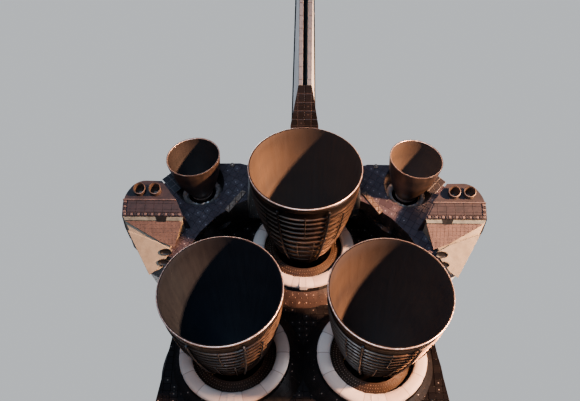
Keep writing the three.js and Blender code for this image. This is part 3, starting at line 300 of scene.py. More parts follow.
def block(low, high, bevel=0.0, segments=1):
    """A cube between two corners, with its edges bevelled."""
    low, high = Vector(low), Vector(high)
    bpy.ops.mesh.primitive_cube_add(size=1, location=(low + high) / 2)
    obj = active()
    obj.scale = high - low
    bpy.ops.object.transform_apply()
    if bevel:
        worked(obj, bpy.ops.mesh.bevel, kind="EDGE", offset=bevel, segments=segments)
    return obj


def pipe(points, radius, sides=10, closed=False):
    """A round tube through points."""
    curve = bpy.data.curves.new("pipe", "CURVE")
    curve.dimensions = "3D"
    spline = curve.splines.new("POLY")
    spline.points.add(len(points) - 1)
    for spot, point in zip(spline.points, points):
        spot.co = (*point, 1)
    spline.use_cyclic_u = closed
    curve.bevel_depth = radius
    curve.bevel_resolution = max(1, sides // 4)
    curve.use_fill_caps = True
    obj = bpy.data.objects.new("pipe", curve)
    bpy.context.scene.collection.objects.link(obj)
    only(obj)
    bpy.ops.object.convert(target="MESH")
    obj = active()
    open_mesh(obj)
    bpy.ops.mesh.remove_doubles(threshold=1e-5)
    bpy.ops.mesh.normals_make_consistent(inside=False)
    close_mesh()
    smooth(obj, 50)
    return obj


def tiled(outline, size, raised=0.35, gap=0.14, keep=None, backing=0.5):
    """A flat sheet of separate tiles in the xy plane, cut to a convex outline, with a backing."""
    xs, ys = [p[0] for p in outline], [p[1] for p in outline]
    width, height = size
    columns = math.ceil((max(xs) - min(xs)) / width)
    rows = math.ceil((max(ys) - min(ys)) / height)
    bpy.ops.mesh.primitive_grid_add(x_subdivisions=columns, y_subdivisions=rows, size=1)
    obj = active()
    obj.scale = (columns * width, rows * height, 1)
    obj.location = ((max(xs) + min(xs)) / 2, (max(ys) + min(ys)) / 2, 0)
    bpy.ops.object.transform_apply()
    open_mesh(obj)
    count = len(outline)
    area = sum(
        outline[i][0] * outline[(i + 1) % count][1] - outline[(i + 1) % count][0] * outline[i][1]
        for i in range(count)
    )
    turn = 1 if area > 0 else -1
    for i in range(count):
        (x0, y0), (x1, y1) = outline[i], outline[(i + 1) % count]
        bpy.ops.mesh.select_all(action="SELECT")
        bpy.ops.mesh.bisect(
            plane_co=(x0, y0, 0),
            plane_no=Vector((turn * (y1 - y0), -turn * (x1 - x0), 0)).normalized(),
            clear_outer=True,
        )
    if keep:
        pick(lambda middle, normal: not keep(middle))
        bpy.ops.mesh.delete(type="FACE")
    bpy.ops.mesh.select_all(action="SELECT")
    bpy.ops.mesh.inset(use_individual=True, thickness=gap, depth=raised)
    close_mesh()
    apply_modifier(obj, "SOLIDIFY", thickness=backing, offset=-1)
    return obj


def bare(name, place=TO_INCHES, merge=0.002, flat=1):
    """A copy of a CAD node, merged and free of its body: in airframe inches, or as a frame says."""
    made = copied(frame["nodes"][name])
    made.parent = None
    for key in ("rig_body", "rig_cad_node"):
        del made[key]
    settle(made, place)
    open_mesh(made)
    bpy.ops.mesh.customdata_custom_splitnormals_clear()
    bpy.ops.mesh.remove_doubles(threshold=merge)
    bpy.ops.mesh.dissolve_limited(angle_limit=radians(flat))
    close_mesh()
    return made


def kept(name, test):
    """Only those faces of a CAD node whose middle and normal pass a test."""
    made = bare(name)
    worked(made, bpy.ops.mesh.delete, lambda middle, normal: not test(middle, normal), type="FACE")
    return made


def cut(obj, along, step, start=0.0):
    """Cuts faces along evenly spaced planes that stand square to a direction."""
    along = Vector(along).normalized()
    reach = [vert.co.dot(along) for vert in obj.data.vertices]
    spot = math.ceil((min(reach) - start) / step) * step + start
    open_mesh(obj)
    while spot < max(reach):
        bpy.ops.mesh.select_all(action="SELECT")
        bpy.ops.mesh.bisect(plane_co=along * spot, plane_no=along)
        spot += step
    close_mesh()


def raised_tiles(obj, gap=0.14, raised=0.35, backing=0.4):
    """Each face becomes a tile that stands proud of the joints."""
    worked(obj, bpy.ops.mesh.inset, use_individual=True, thickness=gap, depth=raised)
    apply_modifier(obj, "SOLIDIFY", thickness=backing, offset=-1)
    return obj


def surface_spot(name, start, towards):
    """Where a line in airframe inches meets a CAD node, and the way the surface faces there."""
    begin = AIRFRAME @ Vector(start)
    way = (AIRFRAME.to_3x3() @ Vector(towards)).normalized()
    hit, place, normal, _ = frame["nodes"][name].ray_cast(begin, way)
    if not hit:
        raise ValueError("no surface of " + name)
    return TO_INCHES @ place, (TO_INCHES.to_3x3() @ normal).normalized()


def on_plane(corner, along, across):
    """A frame whose x and y run along two edges in airframe inches."""
    x = along.normalized()
    z = x.cross(across).normalized()
    y = z.cross(x)
    turn = Matrix((x, y, z)).transposed().to_4x4()
    return AIRFRAME @ Matrix.Translation(corner) @ turn


def skin(node, look, degrees=32, inner=None):
    """A copy of a CAD node with its doubles merged and its facets shaded smooth, in its place.

    inner gives a test in airframe inches and the look of the faces that pass it.
    """
    own_body = frame["nodes"][node]["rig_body"]
    made = bare(node, Matrix(), 1e-5, 0.3)
    smooth(made, degrees)
    apply_modifier(made, "WEIGHTED_NORMAL", keep_sharp=True)
    if inner:
        test, lining = inner
        straight = TO_INCHES.to_3x3().normalized()
        two_looks(made, look, lining, lambda middle, normal: test(TO_INCHES @ middle, straight @ normal))
        look = None
    return finished(made, node + "_skin", own_body, look, [node])


# Shaders: sockets that Python's own signs reckon with, and the groups that the looks share

BLACK, GREY, WHITE = (0, 0, 0), (0.5, 0.5, 0.5), (1, 1, 1)
drawing = None  # the node tree in hand


class Value:
    """A shader output. Each sign that is used on it adds one math node."""

    def __init__(self, socket):
        self.socket = socket

    def __add__(self, other):
        return reckon("ADD", self, other)

    def __sub__(self, other):
        return reckon("SUBTRACT", self, other)

    def __rsub__(self, other):
        return reckon("SUBTRACT", other, self)

    def __mul__(self, other):
        return reckon("MULTIPLY", self, other)

    def __truediv__(self, other):
        return reckon("DIVIDE", self, other)

    def __pow__(self, other):
        return reckon("POWER", self, other)

    def __gt__(self, other):
        return reckon("GREATER_THAN", self, other)

    def __lt__(self, other):
        return reckon("LESS_THAN", self, other)

    def __abs__(self):
        return reckon("ABSOLUTE", self)


def draw_in(tree):
    global drawing
    drawing = tree
    return tree


def feed(target, values):
    """Links or sets a node's inputs. Colours are given without their alpha."""
    for key, value in values.items():
        socket = target.inputs[key]
        if isinstance(value, Value):
            drawing.links.new(value.socket, socket)
        else:
            socket.default_value = (*value, 1) if socket.type == "RGBA" else value


def node(kind, feeds=None, **settings):
    """Adds a node to the tree in hand and gives its outputs."""
    made = drawing.nodes.new(kind)
    for key, value in settings.items():
        setattr(made, key, value)
    feed(made, feeds or {})
    return [Value(output) for output in made.outputs]


def reckon(operation, *values):
    return node("ShaderNodeMath", dict(enumerate(values)), operation=operation)[0]


def ramp(value, low, high, to_low=0.0, to_high=1.0):
    feeds = {"Value": value, "From Min": low, "From Max": high, "To Min": to_low, "To Max": to_high}
    return node("ShaderNodeMapRange", feeds)[0]


def blend(factor, a, b):
    return node("ShaderNodeMix", {0: factor, 6: a, 7: b}, data_type="RGBA")[2]


def between(factor, a, b):
    return node("ShaderNodeMix", {0: factor, 2: a, 3: b})[0]


def noise(place, scale, detail=2.0):
    return node("ShaderNodeTexNoise", {"Vector": place, "Scale": scale, "Detail": detail})[0]


def split(vector):
    return node("ShaderNodeSeparateXYZ", {0: vector})


def mapped(vector, feeds, kind="POINT"):
    return node("ShaderNodeMapping", {"Vector": vector, **feeds}, vector_type=kind)[0]


def bricks(flat, colours, line, seam, smooth, width, height, offset=0.0):
    """Rectangles in rows: their colour, and where the lines between them are."""
    feeds = {
        "Vector": flat, "Color1": colours[0], "Color2": colours[1], "Mortar": line, "Scale": 1.0,
        "Mortar Size": seam, "Mortar Smooth": smooth, "Brick Width": width, "Row Height": height,
    }
    return node("ShaderNodeTexBrick", feeds, offset=offset)


def group(name, inputs, outputs, kind="Float"):
    """Starts a shared group. An input without a number is a vector."""
    tree = draw_in(bpy.data.node_groups.new(name, "ShaderNodeTree"))
    for label, value in inputs.items():
        own_kind = "NodeSocketVector" if value is None else "NodeSocketFloat"
        socket = tree.interface.new_socket(name=label, in_out="INPUT", socket_type=own_kind)
        if value is not None:
            socket.default_value = value
    for label in outputs:
        tree.interface.new_socket(name=label, in_out="OUTPUT", socket_type="NodeSocket" + kind)
    start, end = tree.nodes.new("NodeGroupInput"), tree.nodes.new("NodeGroupOutput")
    return tree, {socket.name: Value(socket) for socket in start.outputs}, end


def used(shared, **feeds):
    made = drawing.nodes.new("ShaderNodeGroup")
    made.node_tree = shared
    feed(made, feeds)
    return {socket.name: Value(socket) for socket in made.outputs}


def airframe_place_group():
    """Object coordinates as side, minus station and water in inches, and the facing in that frame."""
    tree, _, end = group("airframe_place", {}, ("Place", "Facing"), "Vector")
    _, normal, _, spot, *_ = node("ShaderNodeTexCoord")
    level = {"Rotation": (NOSE_DOWN, 0, 0)}
    moved = {"Location": TO_INCHES.translation, "Scale": (1 / INCH,) * 3, **level}
    feed(end, {"Place": mapped(spot, moved), "Facing": mapped(normal, level, "NORMAL")})
    return tree


PLACE = airframe_place_group()


def sheet_map_group():
    """Flat coordinates in inches on whichever side a surface faces most."""
    tree, _, end = group("sheet_map", {}, ("Flat",), "Vector")
    place = used(PLACE)
    spot, facing = split(place["Place"]), split(place["Facing"])
    chosen, from_aft, from_above = (
        node("ShaderNodeCombineXYZ", {0: spot[a], 1: spot[b]})[0] for a, b in ((1, 2), (0, 2), (0, 1))
    )
    for axis, limit, flat in ((1, 0.72, from_aft), (2, 0.62, from_above)):
        over = abs(facing[axis]) > limit
        chosen = node("ShaderNodeMix", {0: over, 4: chosen, 5: flat}, data_type="VECTOR")[1]
    feed(end, {"Flat": chosen})
    return tree


FLAT = sheet_map_group()


def tile_grid_group():
    """Square tiles: the gaps between them, each one's own tone and a small mark at its middle."""
    sizes = {"Flat": None, "Size": 6.0, "Gap": 0.12}
    tree, start, end = group("tile_grid", sizes, ("Gap", "Tone", "Mark"))
    flat, size = start["Flat"], start["Size"]
    colour, gap = bricks(flat, (BLACK, WHITE), GREY, start["Gap"], 0.3, size, size)
    tone = node("ShaderNodeSeparateColor", {0: colour})[0]
    across, along = ((reckon("FRACT", spot / size) - 0.5) ** 2.0 for spot in split(flat)[:2])
    mark = ramp(reckon("SQRT", across + along), 0.1, 0.06)
    feed(end, {"Gap": gap, "Tone": tone, "Mark": mark * (tone > 0.55)})
    return tree


TILE_GRID = tile_grid_group()


def quilt_group():
    """Sewn blankets: seams between panels, stitched pillows and each panel's own tone."""
    sizes = {"Flat": None, "Panel": 32.0, "Stitch": 2.0}
    tree, start, end = group("quilt", sizes, ("Seam", "Tone", "Pillow"))
    flat, panel = start["Flat"], start["Panel"]
    colour, seam = bricks(flat, (BLACK, WHITE), GREY, 0.35, 0.6, panel, panel, 0.5)
    tone = node("ShaderNodeSeparateColor", {0: colour})[0]
    across, along = (abs(reckon("SINE", spot / start["Stitch"] * pi)) for spot in split(flat)[:2])
    feed(end, {"Seam": seam, "Tone": tone, "Pillow": (across * along) ** 0.4})
    return tree


QUILT = quilt_group()


def weather_group():
    """Broad stains, streaks that run along the airflow, and fine grain."""
    tree, _, end = group("weather", {}, ("Stain", "Streak", "Grain"))
    place = used(PLACE)["Place"]
    stain, streak = noise(place, 0.018, 5.0), noise(mapped(place, {"Scale": (1, 0.08, 1)}), 0.16, 4.0)
    stain, streak = ramp(stain, 0.38, 0.68), ramp(streak, 0.42, 0.72)
    feed(end, {"Stain": stain, "Streak": streak, "Grain": noise(place, 1.6, 3.0)})
    return tree


WEATHER = weather_group()


# Materials


def new_material(name, **sockets):
    made = bpy.data.materials.new(name)
    made.use_nodes = True
    shader = draw_in(made.node_tree).nodes["Principled BSDF"]
    for key, value in sockets.items():
        shader.inputs[key.replace("_", " ")].default_value = value
    return made


def surface(made, colour, roughness, height=None, strength=0.4, distance=0.01):
    """Links a look's colour, roughness and bumps to its shader."""
    values = {"Base Color": colour, "Roughness": roughness}
    if height:
        bump = {"Height": height, "Strength": strength, "Distance": distance}
        values["Normal"] = node("ShaderNodeBump", bump)[0]
    feed(drawing.nodes["Principled BSDF"], values)
    return made


def dulled(level, *looks):
    for look in looks:
        look.node_tree.nodes["Principled BSDF"].inputs["Specular IOR Level"].default_value = level


def grained(weather, low, high):
    """A roughness that follows the fine grain."""
    return ramp(weather["Grain"], 0.3, 0.7, low, high)


def tile_look(dark, light, joint, mark, size=6.0, gap=0.12, rough=(0.22, 0.45), turn=0.0):
    """Base colour, roughness and height of a field of tiles, some with pale worn joints."""
    flat = used(FLAT)["Flat"]
    if turn:
        flat = mapped(flat, {"Rotation": (0, 0, radians(turn))})
    grid, weather = used(TILE_GRID, Flat=flat, Size=size, Gap=gap), used(WEATHER)
    tone = grid["Tone"]
    colour = blend(weather["Streak"] * 0.35, blend(tone, dark, light), light)
    colour = blend(grid["Mark"] * 0.7, colour, mark)
    colour = blend(grid["Gap"], colour, blend(weather["Grain"] * tone > 0.47, joint, mark))
    roughness = ramp(tone * 0.6 + weather["Stain"], 0.0, 1.6, *rough)
    return colour, roughness, 1.0 - grid["Gap"] + tone * 0.12


def blanket_look(white, shade, seam, panel=32.0):
    """The same three for sewn blankets."""
    quilt, weather = used(QUILT, Flat=used(FLAT)["Flat"], Panel=panel), used(WEATHER)
    colour = blend(quilt["Tone"] * 0.5, white, shade)
    colour = blend(weather["Streak"] * 0.45, colour, shade)
    colour = blend(quilt["Seam"] * 0.8, colour, seam)
    return colour, grained(weather, 0.82, 0.96), quilt["Pillow"] * 0.35 + quilt["Seam"] * -1.0


BLACK_TILE = ((0.012, 0.012, 0.014), (0.03, 0.028, 0.03), (0.004, 0.004, 0.004), (0.35, 0.33, 0.32))
WHITE_CLOTH = ((0.78, 0.76, 0.72), (0.62, 0.6, 0.56), (0.4, 0.38, 0.36))


def tile_material(name, colours, strength=0.5, **settings):
    made = new_material(name)
    return surface(made, *tile_look(*colours, **settings), strength)


def hull_material(name, black_where, panel=32.0):
    """White blankets that give way to black tiles where a mask says."""
    made = new_material(name)
    place = used(PLACE)
    (side, aft, water), facing = split(place["Place"]), split(place["Facing"])
    mask = black_where(aft * -1.0, abs(side), water, facing)
    black, white = tile_look(*BLACK_TILE), blanket_look(*WHITE_CLOTH, panel)
    roughness, height = (between(mask, white[i], black[i]) for i in (1, 2))
    return surface(made, blend(mask, white[0], black[0]), roughness, height, 0.45)


def most(*values):
    made = values[0]
    for value in values[1:]:
        made = reckon("MAXIMUM", made, value)
    return made


def nose_mask(station, side, water, facing):
    low = water < ramp(station, 262, 580, 352, 298)
    eyes = (station > 428) * (station < 513) * (water > 434) * (water < 495)
    overhead = (station > 492) * (station < 526) * (side < 35) * (water > 480)
    return most(low, station < 276, eyes, overhead)


def belly_mask(station, side, water, facing):
    return water < 291


def no_mask(station, side, water, facing):
    return side * 0.0


def wing_mask(station, side, water, facing):
    return facing[2] < -0.05


def pod_mask(station, side, water, facing):
    return most(station > 1470, station < 1326)


def fin_mask(station, side, water, facing):
    return most(facing[1] < -0.75, facing[1] > 0.35)


NOSE_SKIN = hull_material("nose_skin", nose_mask)
HULL_SKIN = hull_material("hull_skin", belly_mask)
DOOR_SKIN = hull_material("door_skin", no_mask, 60.0)
WING_SKIN = hull_material("wing_skin", wing_mask)
POD_SKIN = hull_material("pod_skin", pod_mask)
FIN_SKIN = hull_material("fin_skin", fin_mask)
BASE_COLOURS = ((0.008, 0.006, 0.006), (0.015, 0.011, 0.01), (0.004, 0.003, 0.003), (0.4, 0.3, 0.25))
BASE_TILE = tile_material("base_tile", BASE_COLOURS, gap=0.2)
DOME_TILE = tile_material("dome_tile", BASE_COLOURS, 0.1, gap=0.05, rough=(0.5, 0.7))
# Painted warm light: a brown copy of the dark dome tiles, for the dome round engine 1
DOME_WARM_LIGHT_COLOURS = ((0.03, 0.018, 0.015), (0.055, 0.032, 0.025), (0.015, 0.01, 0.01), (0.5, 0.33, 0.26))
DOME_WARM_LIGHT_TILE = tile_material("dome_tile_painted_warm_light", DOME_WARM_LIGHT_COLOURS, 0.1, gap=0.05, rough=(0.4, 0.6))


def wrapped_place():
    flat = node("ShaderNodeUVMap", uv_map="wrap")[0]
    return split(flat)[0], flat


def bell_material(name, colour, tint, rough, metal, tubes=0.0, streaks=0.5, painted_upper_shade=0.0):
    """Nozzle steel with stains along the wall, fine upright coolant tubes and painted shade that darkens its
    upper side.
    """
    made = new_material(name, Metallic=metal)
    turn, flat = wrapped_place()
    streak = noise(mapped(flat, {"Scale": (34, 1.6, 1)}), 2.0, 5.0)
    amount = streak * streaks + noise(flat, 5.0, 3.0)
    steel = blend(ramp(amount, 0.4, 0.62 + streaks), colour, tint)
    if painted_upper_shade:
        # Painted shade: the wall turns darker towards its upper side
        upper = ramp(reckon("COSINE", (turn - 0.7) * (2 * pi)), 0.2, 1.0, 0.0, painted_upper_shade)
        steel = blend(upper, steel, (0.06, 0.043, 0.036))
    height = reckon("SINE", turn * (2 * pi * 360)) * tubes + amount * 0.6
    return surface(made, steel, ramp(streak, 0.3, 0.7, rough, rough + 0.2), height, 0.3, 0.004)


def metal_material(name, colour, worn, rough=0.35, metal=0.9, scale=0.5):
    """Bare or painted metal with scratches and worn patches."""
    made = new_material(name, Metallic=metal)
    place = used(PLACE)["Place"]
    wear, fine = ramp(noise(place, scale, 6.0), 0.5, 0.66), noise(place, scale * 12)
    roughness = ramp(wear + fine, 0.3, 1.6, rough, rough + 0.25)
    return surface(made, blend(wear, colour, worn), roughness, fine, 0.15, 0.002)


def flat_material(name, colours, scale=0.3):
    """A plain tile or painted face with a mottled tone and fine grain."""
    made = new_material(name)
    weather = used(WEATHER)
    amount = weather["Streak"] * 0.4 + noise(used(PLACE)["Place"], scale, 5.0)
    colour = blend(ramp(amount, 0.35, 0.95), *colours)
    return surface(made, colour, grained(weather, 0.4, 0.6), weather["Grain"], 0.2, 0.002)


def cabin_material(name, colours, line, width, height):
    """Painted panels with fine joints between them."""
    made = new_material(name)
    colour, joint = bricks(used(FLAT)["Flat"], colours, line, 0.09, 0.4, width, height)
    weather = used(WEATHER)
    paint = blend(weather["Stain"] * 0.3, colour, line)
    return surface(made, paint, grained(weather, 0.42, 0.6), 1.0 - joint, 0.35, 0.004)


def bell_inside(name, colour, tint, painted_upper_shade):
    return bell_material(name, colour, tint, 0.5, 0.2, 0.3, 0.12, painted_upper_shade)


BELL_INSIDE = bell_inside("bell_inside", (0.13, 0.086, 0.062), (0.09, 0.064, 0.052), 0.8)
# Painted shade: a darker copy of the inside for engine 2, which less light reaches
BELL_INSIDE_2_PAINTED_SHADE = bell_inside("bell_inside_2_painted_shade", (0.02, 0.024, 0.032), (0.014, 0.017, 0.024), 0.3)
# Painted shade: a darker copy of the inside for the left orbital nozzle, which less light reaches
LEFT_ORBITAL_PAINTED_SHADE = bell_inside("left_orbital_inside_painted_shade", (0.04, 0.03, 0.028), (0.028, 0.022, 0.021), 0.3)
# Painted shade: a darker copy of the inside for engine 3, whose lit wall is dimmer
BELL_INSIDE_3_PAINTED_SHADE = bell_inside("bell_inside_3_painted_shade", (0.088, 0.058, 0.045), (0.058, 0.041, 0.037), 0.8)
BELL_OUTSIDE = bell_material("bell_outside", (0.012, 0.012, 0.013), (0.05, 0.031, 0.023), 0.33, 0.75, 1.0)
BELL_BAND = bell_material("bell_band", (0.024, 0.02, 0.02), (0.13, 0.078, 0.052), 0.3, 0.85)
ORBITAL_OUTSIDE = bell_material("orbital_outside", (0.05, 0.042, 0.04), (0.16, 0.1, 0.075), 0.36, 0.6)
THRUSTER_STEEL = bell_material("thruster_steel", (0.06, 0.05, 0.045), (0.2, 0.13, 0.1), 0.4, 0.5)
# Pale copper for the nozzle lips and joint bands: partly the metal's colour, partly a painted highlight along
# each rim
LIP_COPPER_AND_HIGHLIGHT = metal_material("lip_copper_painted_highlight", (0.6, 0.42, 0.35), (0.8, 0.66, 0.58), 0.3, 0.8)
DUCT_STEEL = metal_material("duct_steel", (0.05, 0.05, 0.055), (0.16, 0.13, 0.11), 0.35, 0.8)
SHIELD_BROWN = metal_material("shield_brown", (0.034, 0.018, 0.011), (0.06, 0.032, 0.02), 0.48, 0.35)
RIVET = metal_material("rivet", (0.24, 0.17, 0.13), (0.42, 0.32, 0.26), 0.35, 0.8)
FOIL = metal_material("foil", (0.34, 0.3, 0.28), (0.42, 0.24, 0.16), 0.28, 0.85, 0.3)
# Orange-brown edge plates: partly their copper colour, partly painted warm light on that patch
PLATE_COPPER_AND_WARM_LIGHT = metal_material("plate_copper_painted_warm_light", (0.18, 0.12, 0.09), (0.32, 0.23, 0.18), 0.35, 0.5)
FRAME_METAL = metal_material("frame_metal", (0.4, 0.41, 0.38), (0.55, 0.55, 0.52), 0.4, 0.6)
GEAR_PAINT = metal_material("gear_paint", (0.62, 0.63, 0.62), (0.42, 0.42, 0.4), 0.35, 0.15)
CHROME = metal_material("piston_chrome", (0.62, 0.63, 0.65), (0.5, 0.5, 0.5), 0.12, 0.98)
RIM_PAINT = metal_material("rim_metal", (0.42, 0.43, 0.44), (0.2, 0.19, 0.18), 0.32, 0.8, 1.2)
HOSE_BLACK = metal_material("hose_black", (0.02, 0.02, 0.022), (0.06, 0.06, 0.06), 0.5, 0.0)
# Painted shade: an opaque near-black pane stands for the unlit cabin behind the hatch window
PANE_PAINTED_SHADE = metal_material("hatch_pane_painted_shade", (0.015, 0.018, 0.02), (0.03, 0.033, 0.035), 0.08, 0.0)
DRUM_TILE = tile_material("drum_tile", BLACK_TILE, 0.15, gap=0.05, rough=(0.12, 0.35))
GROUT = ((0.012, 0.01, 0.01), (0.02, 0.015, 0.015), (0.04, 0.026, 0.022), (0.1, 0.07, 0.06))
GROUT_TILE = tile_material("grout_tile", GROUT, gap=0.4)
POD_COLOURS = ((0.045, 0.032, 0.037), (0.064, 0.046, 0.052), (0.018, 0.014, 0.016), (0.38, 0.32, 0.32))
POD_TILE = tile_material("pod_tile", POD_COLOURS, gap=0.16, rough=(0.15, 0.4), turn=30)
BELLY_TILE = tile_material("belly_tile", BLACK_TILE)
BEZEL = tile_material("bezel_tile", BLACK_TILE, size=9, gap=0.08)
MAUVE_TILE = flat_material("mauve_tile", ((0.036, 0.024, 0.026), (0.02, 0.015, 0.017)))
PINK_TILE = flat_material("pink_tile", ((0.155, 0.1, 0.086), (0.09, 0.062, 0.056)), 0.8)
BOLT_PALE = flat_material("bolt_pale", ((0.13, 0.088, 0.08), (0.06, 0.043, 0.042)), 0.8)
BOLT_DARK = flat_material("bolt_dark", ((0.03, 0.02, 0.022), (0.014, 0.01, 0.012)), 0.8)
CREAM = flat_material("cream", ((0.32, 0.26, 0.195), (0.25, 0.2, 0.15)))
# Painted shade: near-black for the dark depths of the thruster ports, which the shallow cups lack
PORT_PAINTED_SHADE = flat_material("port_painted_shade", ((0.004, 0.0035, 0.0035), (0.012, 0.009, 0.008)))
SEAL_GREY = flat_material("seal_grey", ((0.2, 0.2, 0.17), (0.1, 0.1, 0.09)))
# Painted shade: a near-black sheet stands for the shadowed gap in the seal strip
GAP_PAINTED_SHADE = flat_material("seal_gap_painted_shade", ((0.006, 0.006, 0.006), (0.015, 0.014, 0.014)))
POD_SQUARE = flat_material("pod_square", ((0.026, 0.02, 0.023), (0.016, 0.013, 0.015)), 0.8)
PALE_EDGE = flat_material("pale_edge", ((0.16, 0.14, 0.14), (0.1, 0.085, 0.085)), 0.8)
EDGE_BLACK = flat_material("edge_black", ((0.008, 0.008, 0.009), (0.004, 0.004, 0.005)), 0.8)
CABIN = cabin_material("cabin_panels", ((0.2, 0.21, 0.21), (0.28, 0.29, 0.28)), (0.05, 0.05, 0.05), 11, 8)
BULKHEAD = cabin_material("bulkhead_panels", ((0.4, 0.41, 0.38), (0.5, 0.5, 0.46)), (0.15, 0.15, 0.13), 24, 18)
LINER = cabin_material("bay_liner", ((0.62, 0.62, 0.6), (0.7, 0.7, 0.67)), (0.34, 0.34, 0.33), 30, 24)
WELL_PAINT = cabin_material("well_paint", ((0.5, 0.51, 0.46), (0.58, 0.58, 0.53)), (0.22, 0.22, 0.19), 22, 12)
RADIATOR = cabin_material("radiator_tape", ((0.55, 0.56, 0.58), (0.68, 0.69, 0.7)), (0.28, 0.29, 0.3), 40, 2.2)
SCREEN_TONES = ((0.02, 0.03, 0.035), (0.06, 0.08, 0.08))
SCREENS = cabin_material("instrument_screens", SCREEN_TONES, (0.2, 0.21, 0.2), 3, 2.2)
dulled(0.12, FIN_SKIN)
dulled(0.2, BASE_TILE, DOME_TILE, DOME_WARM_LIGHT_TILE, SHIELD_BROWN)
dulled(0.1, EDGE_BLACK)

RING_PARTS = 14


def ring_cloth():
    """The pinkish quilted cloth of the closeout rings, a little different from piece to piece."""
    made = new_material("ring_cloth", Sheen_Weight=0.2)
    parts = wrapped_place()[0] * float(RING_PARTS)
    own = node("ShaderNodeTexWhiteNoise", {"W": reckon("FLOOR", parts)}, noise_dimensions="1D")[0]
    weather = used(WEATHER)
    cloth = blend(own, (0.48, 0.34, 0.275), (0.54, 0.43, 0.37))
    cloth = blend(weather["Stain"] * 0.5, cloth, (0.3, 0.2, 0.165))
    seam = ramp(abs(reckon("FRACT", parts) - 0.5), 0.475, 0.492)
    cloth = blend(seam * 0.75, cloth, (0.2, 0.13, 0.11))
    weave = noise(used(PLACE)["Place"], 5.0)
    return surface(made, cloth, grained(weather, 0.75, 0.92), weave, 0.3, 0.003)


def carbon_material():
    """Grey carbon panels, with a dark seal strip at each joint along the span."""
    made = new_material("carbon", Coat_Weight=0.1)
    side = abs(split(used(PLACE)["Place"])[0])
    from_middle = abs(reckon("FRACT", side / 14.2) - 0.5)
    seal = ramp(from_middle, 0.455, 0.475) * (side > 140)
    weather = used(WEATHER)
    colour = blend(weather["Stain"], (0.2, 0.195, 0.19), (0.13, 0.125, 0.12))
    colour = blend(weather["Streak"] * 0.4, colour, (0.28, 0.26, 0.23))
    colour = blend(seal, colour, (0.05, 0.05, 0.05))
    return surface(made, colour, grained(weather, 0.4, 0.58), seal * -1.0)


def glass_material():
    """Clear window glass with a faint bloom of dust."""
    made = new_material("window_glass", Transmission_Weight=1.0, IOR=1.5)
    weather = used(WEATHER)
    tint = blend(weather["Stain"], (0.82, 0.88, 0.87), (0.7, 0.76, 0.76))
    return surface(made, tint, ramp(weather["Grain"], 0.35, 0.7, 0.02, 0.09))


def tyre_material():
    """Matt black rubber with scuffed shoulders and fine grain."""
    made = new_material("tyre_rubber", Specular_IOR_Level=0.3)
    place = used(PLACE)["Place"]
    grain, worn = noise(place, 5.0), ramp(noise(place, 0.35, 6.0), 0.45, 0.68)
    rubber = blend(worn, (0.018, 0.018, 0.019), (0.06, 0.056, 0.053))
    return surface(made, rubber, ramp(grain, 0.3, 0.7, 0.7, 0.92), grain, 0.25, 0.002)


def cushion_material():
    """Woven seat cloth with a fine check of threads."""
    made = new_material("seat_cloth", Sheen_Weight=0.25)
    across, along = (abs(reckon("SINE", spot * 18)) for spot in split(used(FLAT)["Flat"])[:2])
    weave, patch = across * along, noise(used(PLACE)["Place"], 0.4, 3.0)
    cloth = blend(weave, (0.05, 0.06, 0.08), (0.1, 0.12, 0.15))
    cloth = blend(patch * 0.4, cloth, (0.14, 0.15, 0.17))
    return surface(made, cloth, ramp(patch, 0.3, 0.7, 0.8, 0.95), weave, 0.3, 0.001)


def gear_door_material():
    """Black tiles on a gear door's outer side, painted panels on its inner side."""
    made = new_material("gear_door")
    place = used(PLACE)
    outer = split(place["Place"])[0] * split(place["Facing"])[0] > 4.0
    black, weather = tile_look(*BLACK_TILE), used(WEATHER)
    paint = blend(weather["Stain"], (0.6, 0.6, 0.56), (0.45, 0.45, 0.41))
    roughness, height = (between(outer, weather["Grain"], black[i]) for i in (1, 2))
    return surface(made, blend(outer, paint, black[0]), roughness, height, 0.4)


RING_CLOTH = ring_cloth()
CARBON = carbon_material()
GLASS = glass_material()
TYRE = tyre_material()
SEAT_CLOTH = cushion_material()
GEAR_DOOR = gear_door_material()

# Main engines: a bell with its bands and ducts, modelled once and copied

THROAT_AT, THROAT = 38.4, 5.2
MOUTH_AT, MOUTH = 159.45, 45.4
BELL_WALL = 0.8
SHIELD_RADIUS = 63.3
# Engines 2 and 3 take darker copies of the inside as painted shade
BELL_PAINTED_SHADE = {"2": BELL_INSIDE_2_PAINTED_SHADE, "3": BELL_INSIDE_3_PAINTED_SHADE}  # these two are darker inside than the first
STEEP, SHALLOW = math.tan(radians(37)), math.tan(radians(5.4))


def bell_contour(throat_at, mouth_at, throat, mouth, steps):
    """The inner wall: a parabola, steep at the throat and nearly straight at the mouth."""
    length = mouth_at - throat_at
    bend = (mouth - throat - SHALLOW * length) / (STEEP - SHALLOW)
    ends = ((throat, throat_at), (throat + STEEP * bend, throat_at + bend), (mouth, mouth_at))
    made = []
    for i in range(steps + 1):
        t = i / steps
        weights = ((1 - t) ** 2, 2 * t * (1 - t), t * t)
        made.append(tuple(sum(w * p[k] for w, p in zip(weights, ends)) for k in (0, 1)))
    return made


def radius_at(contour, height):
    for (r0, h0), (r1, h1) in zip(contour, contour[1:]):
        if h0 <= height <= h1:
            return r0 + (r1 - r0) * (height - h0) / (h1 - h0)
    return contour[-1][0]


MAIN_CONTOUR = bell_contour(THROAT_AT, MOUTH_AT, THROAT, MOUTH, 18)
BANDS = (72, 82, 91.5, 100.5, 109, 117, 124.5, 131.5, 138, 144)


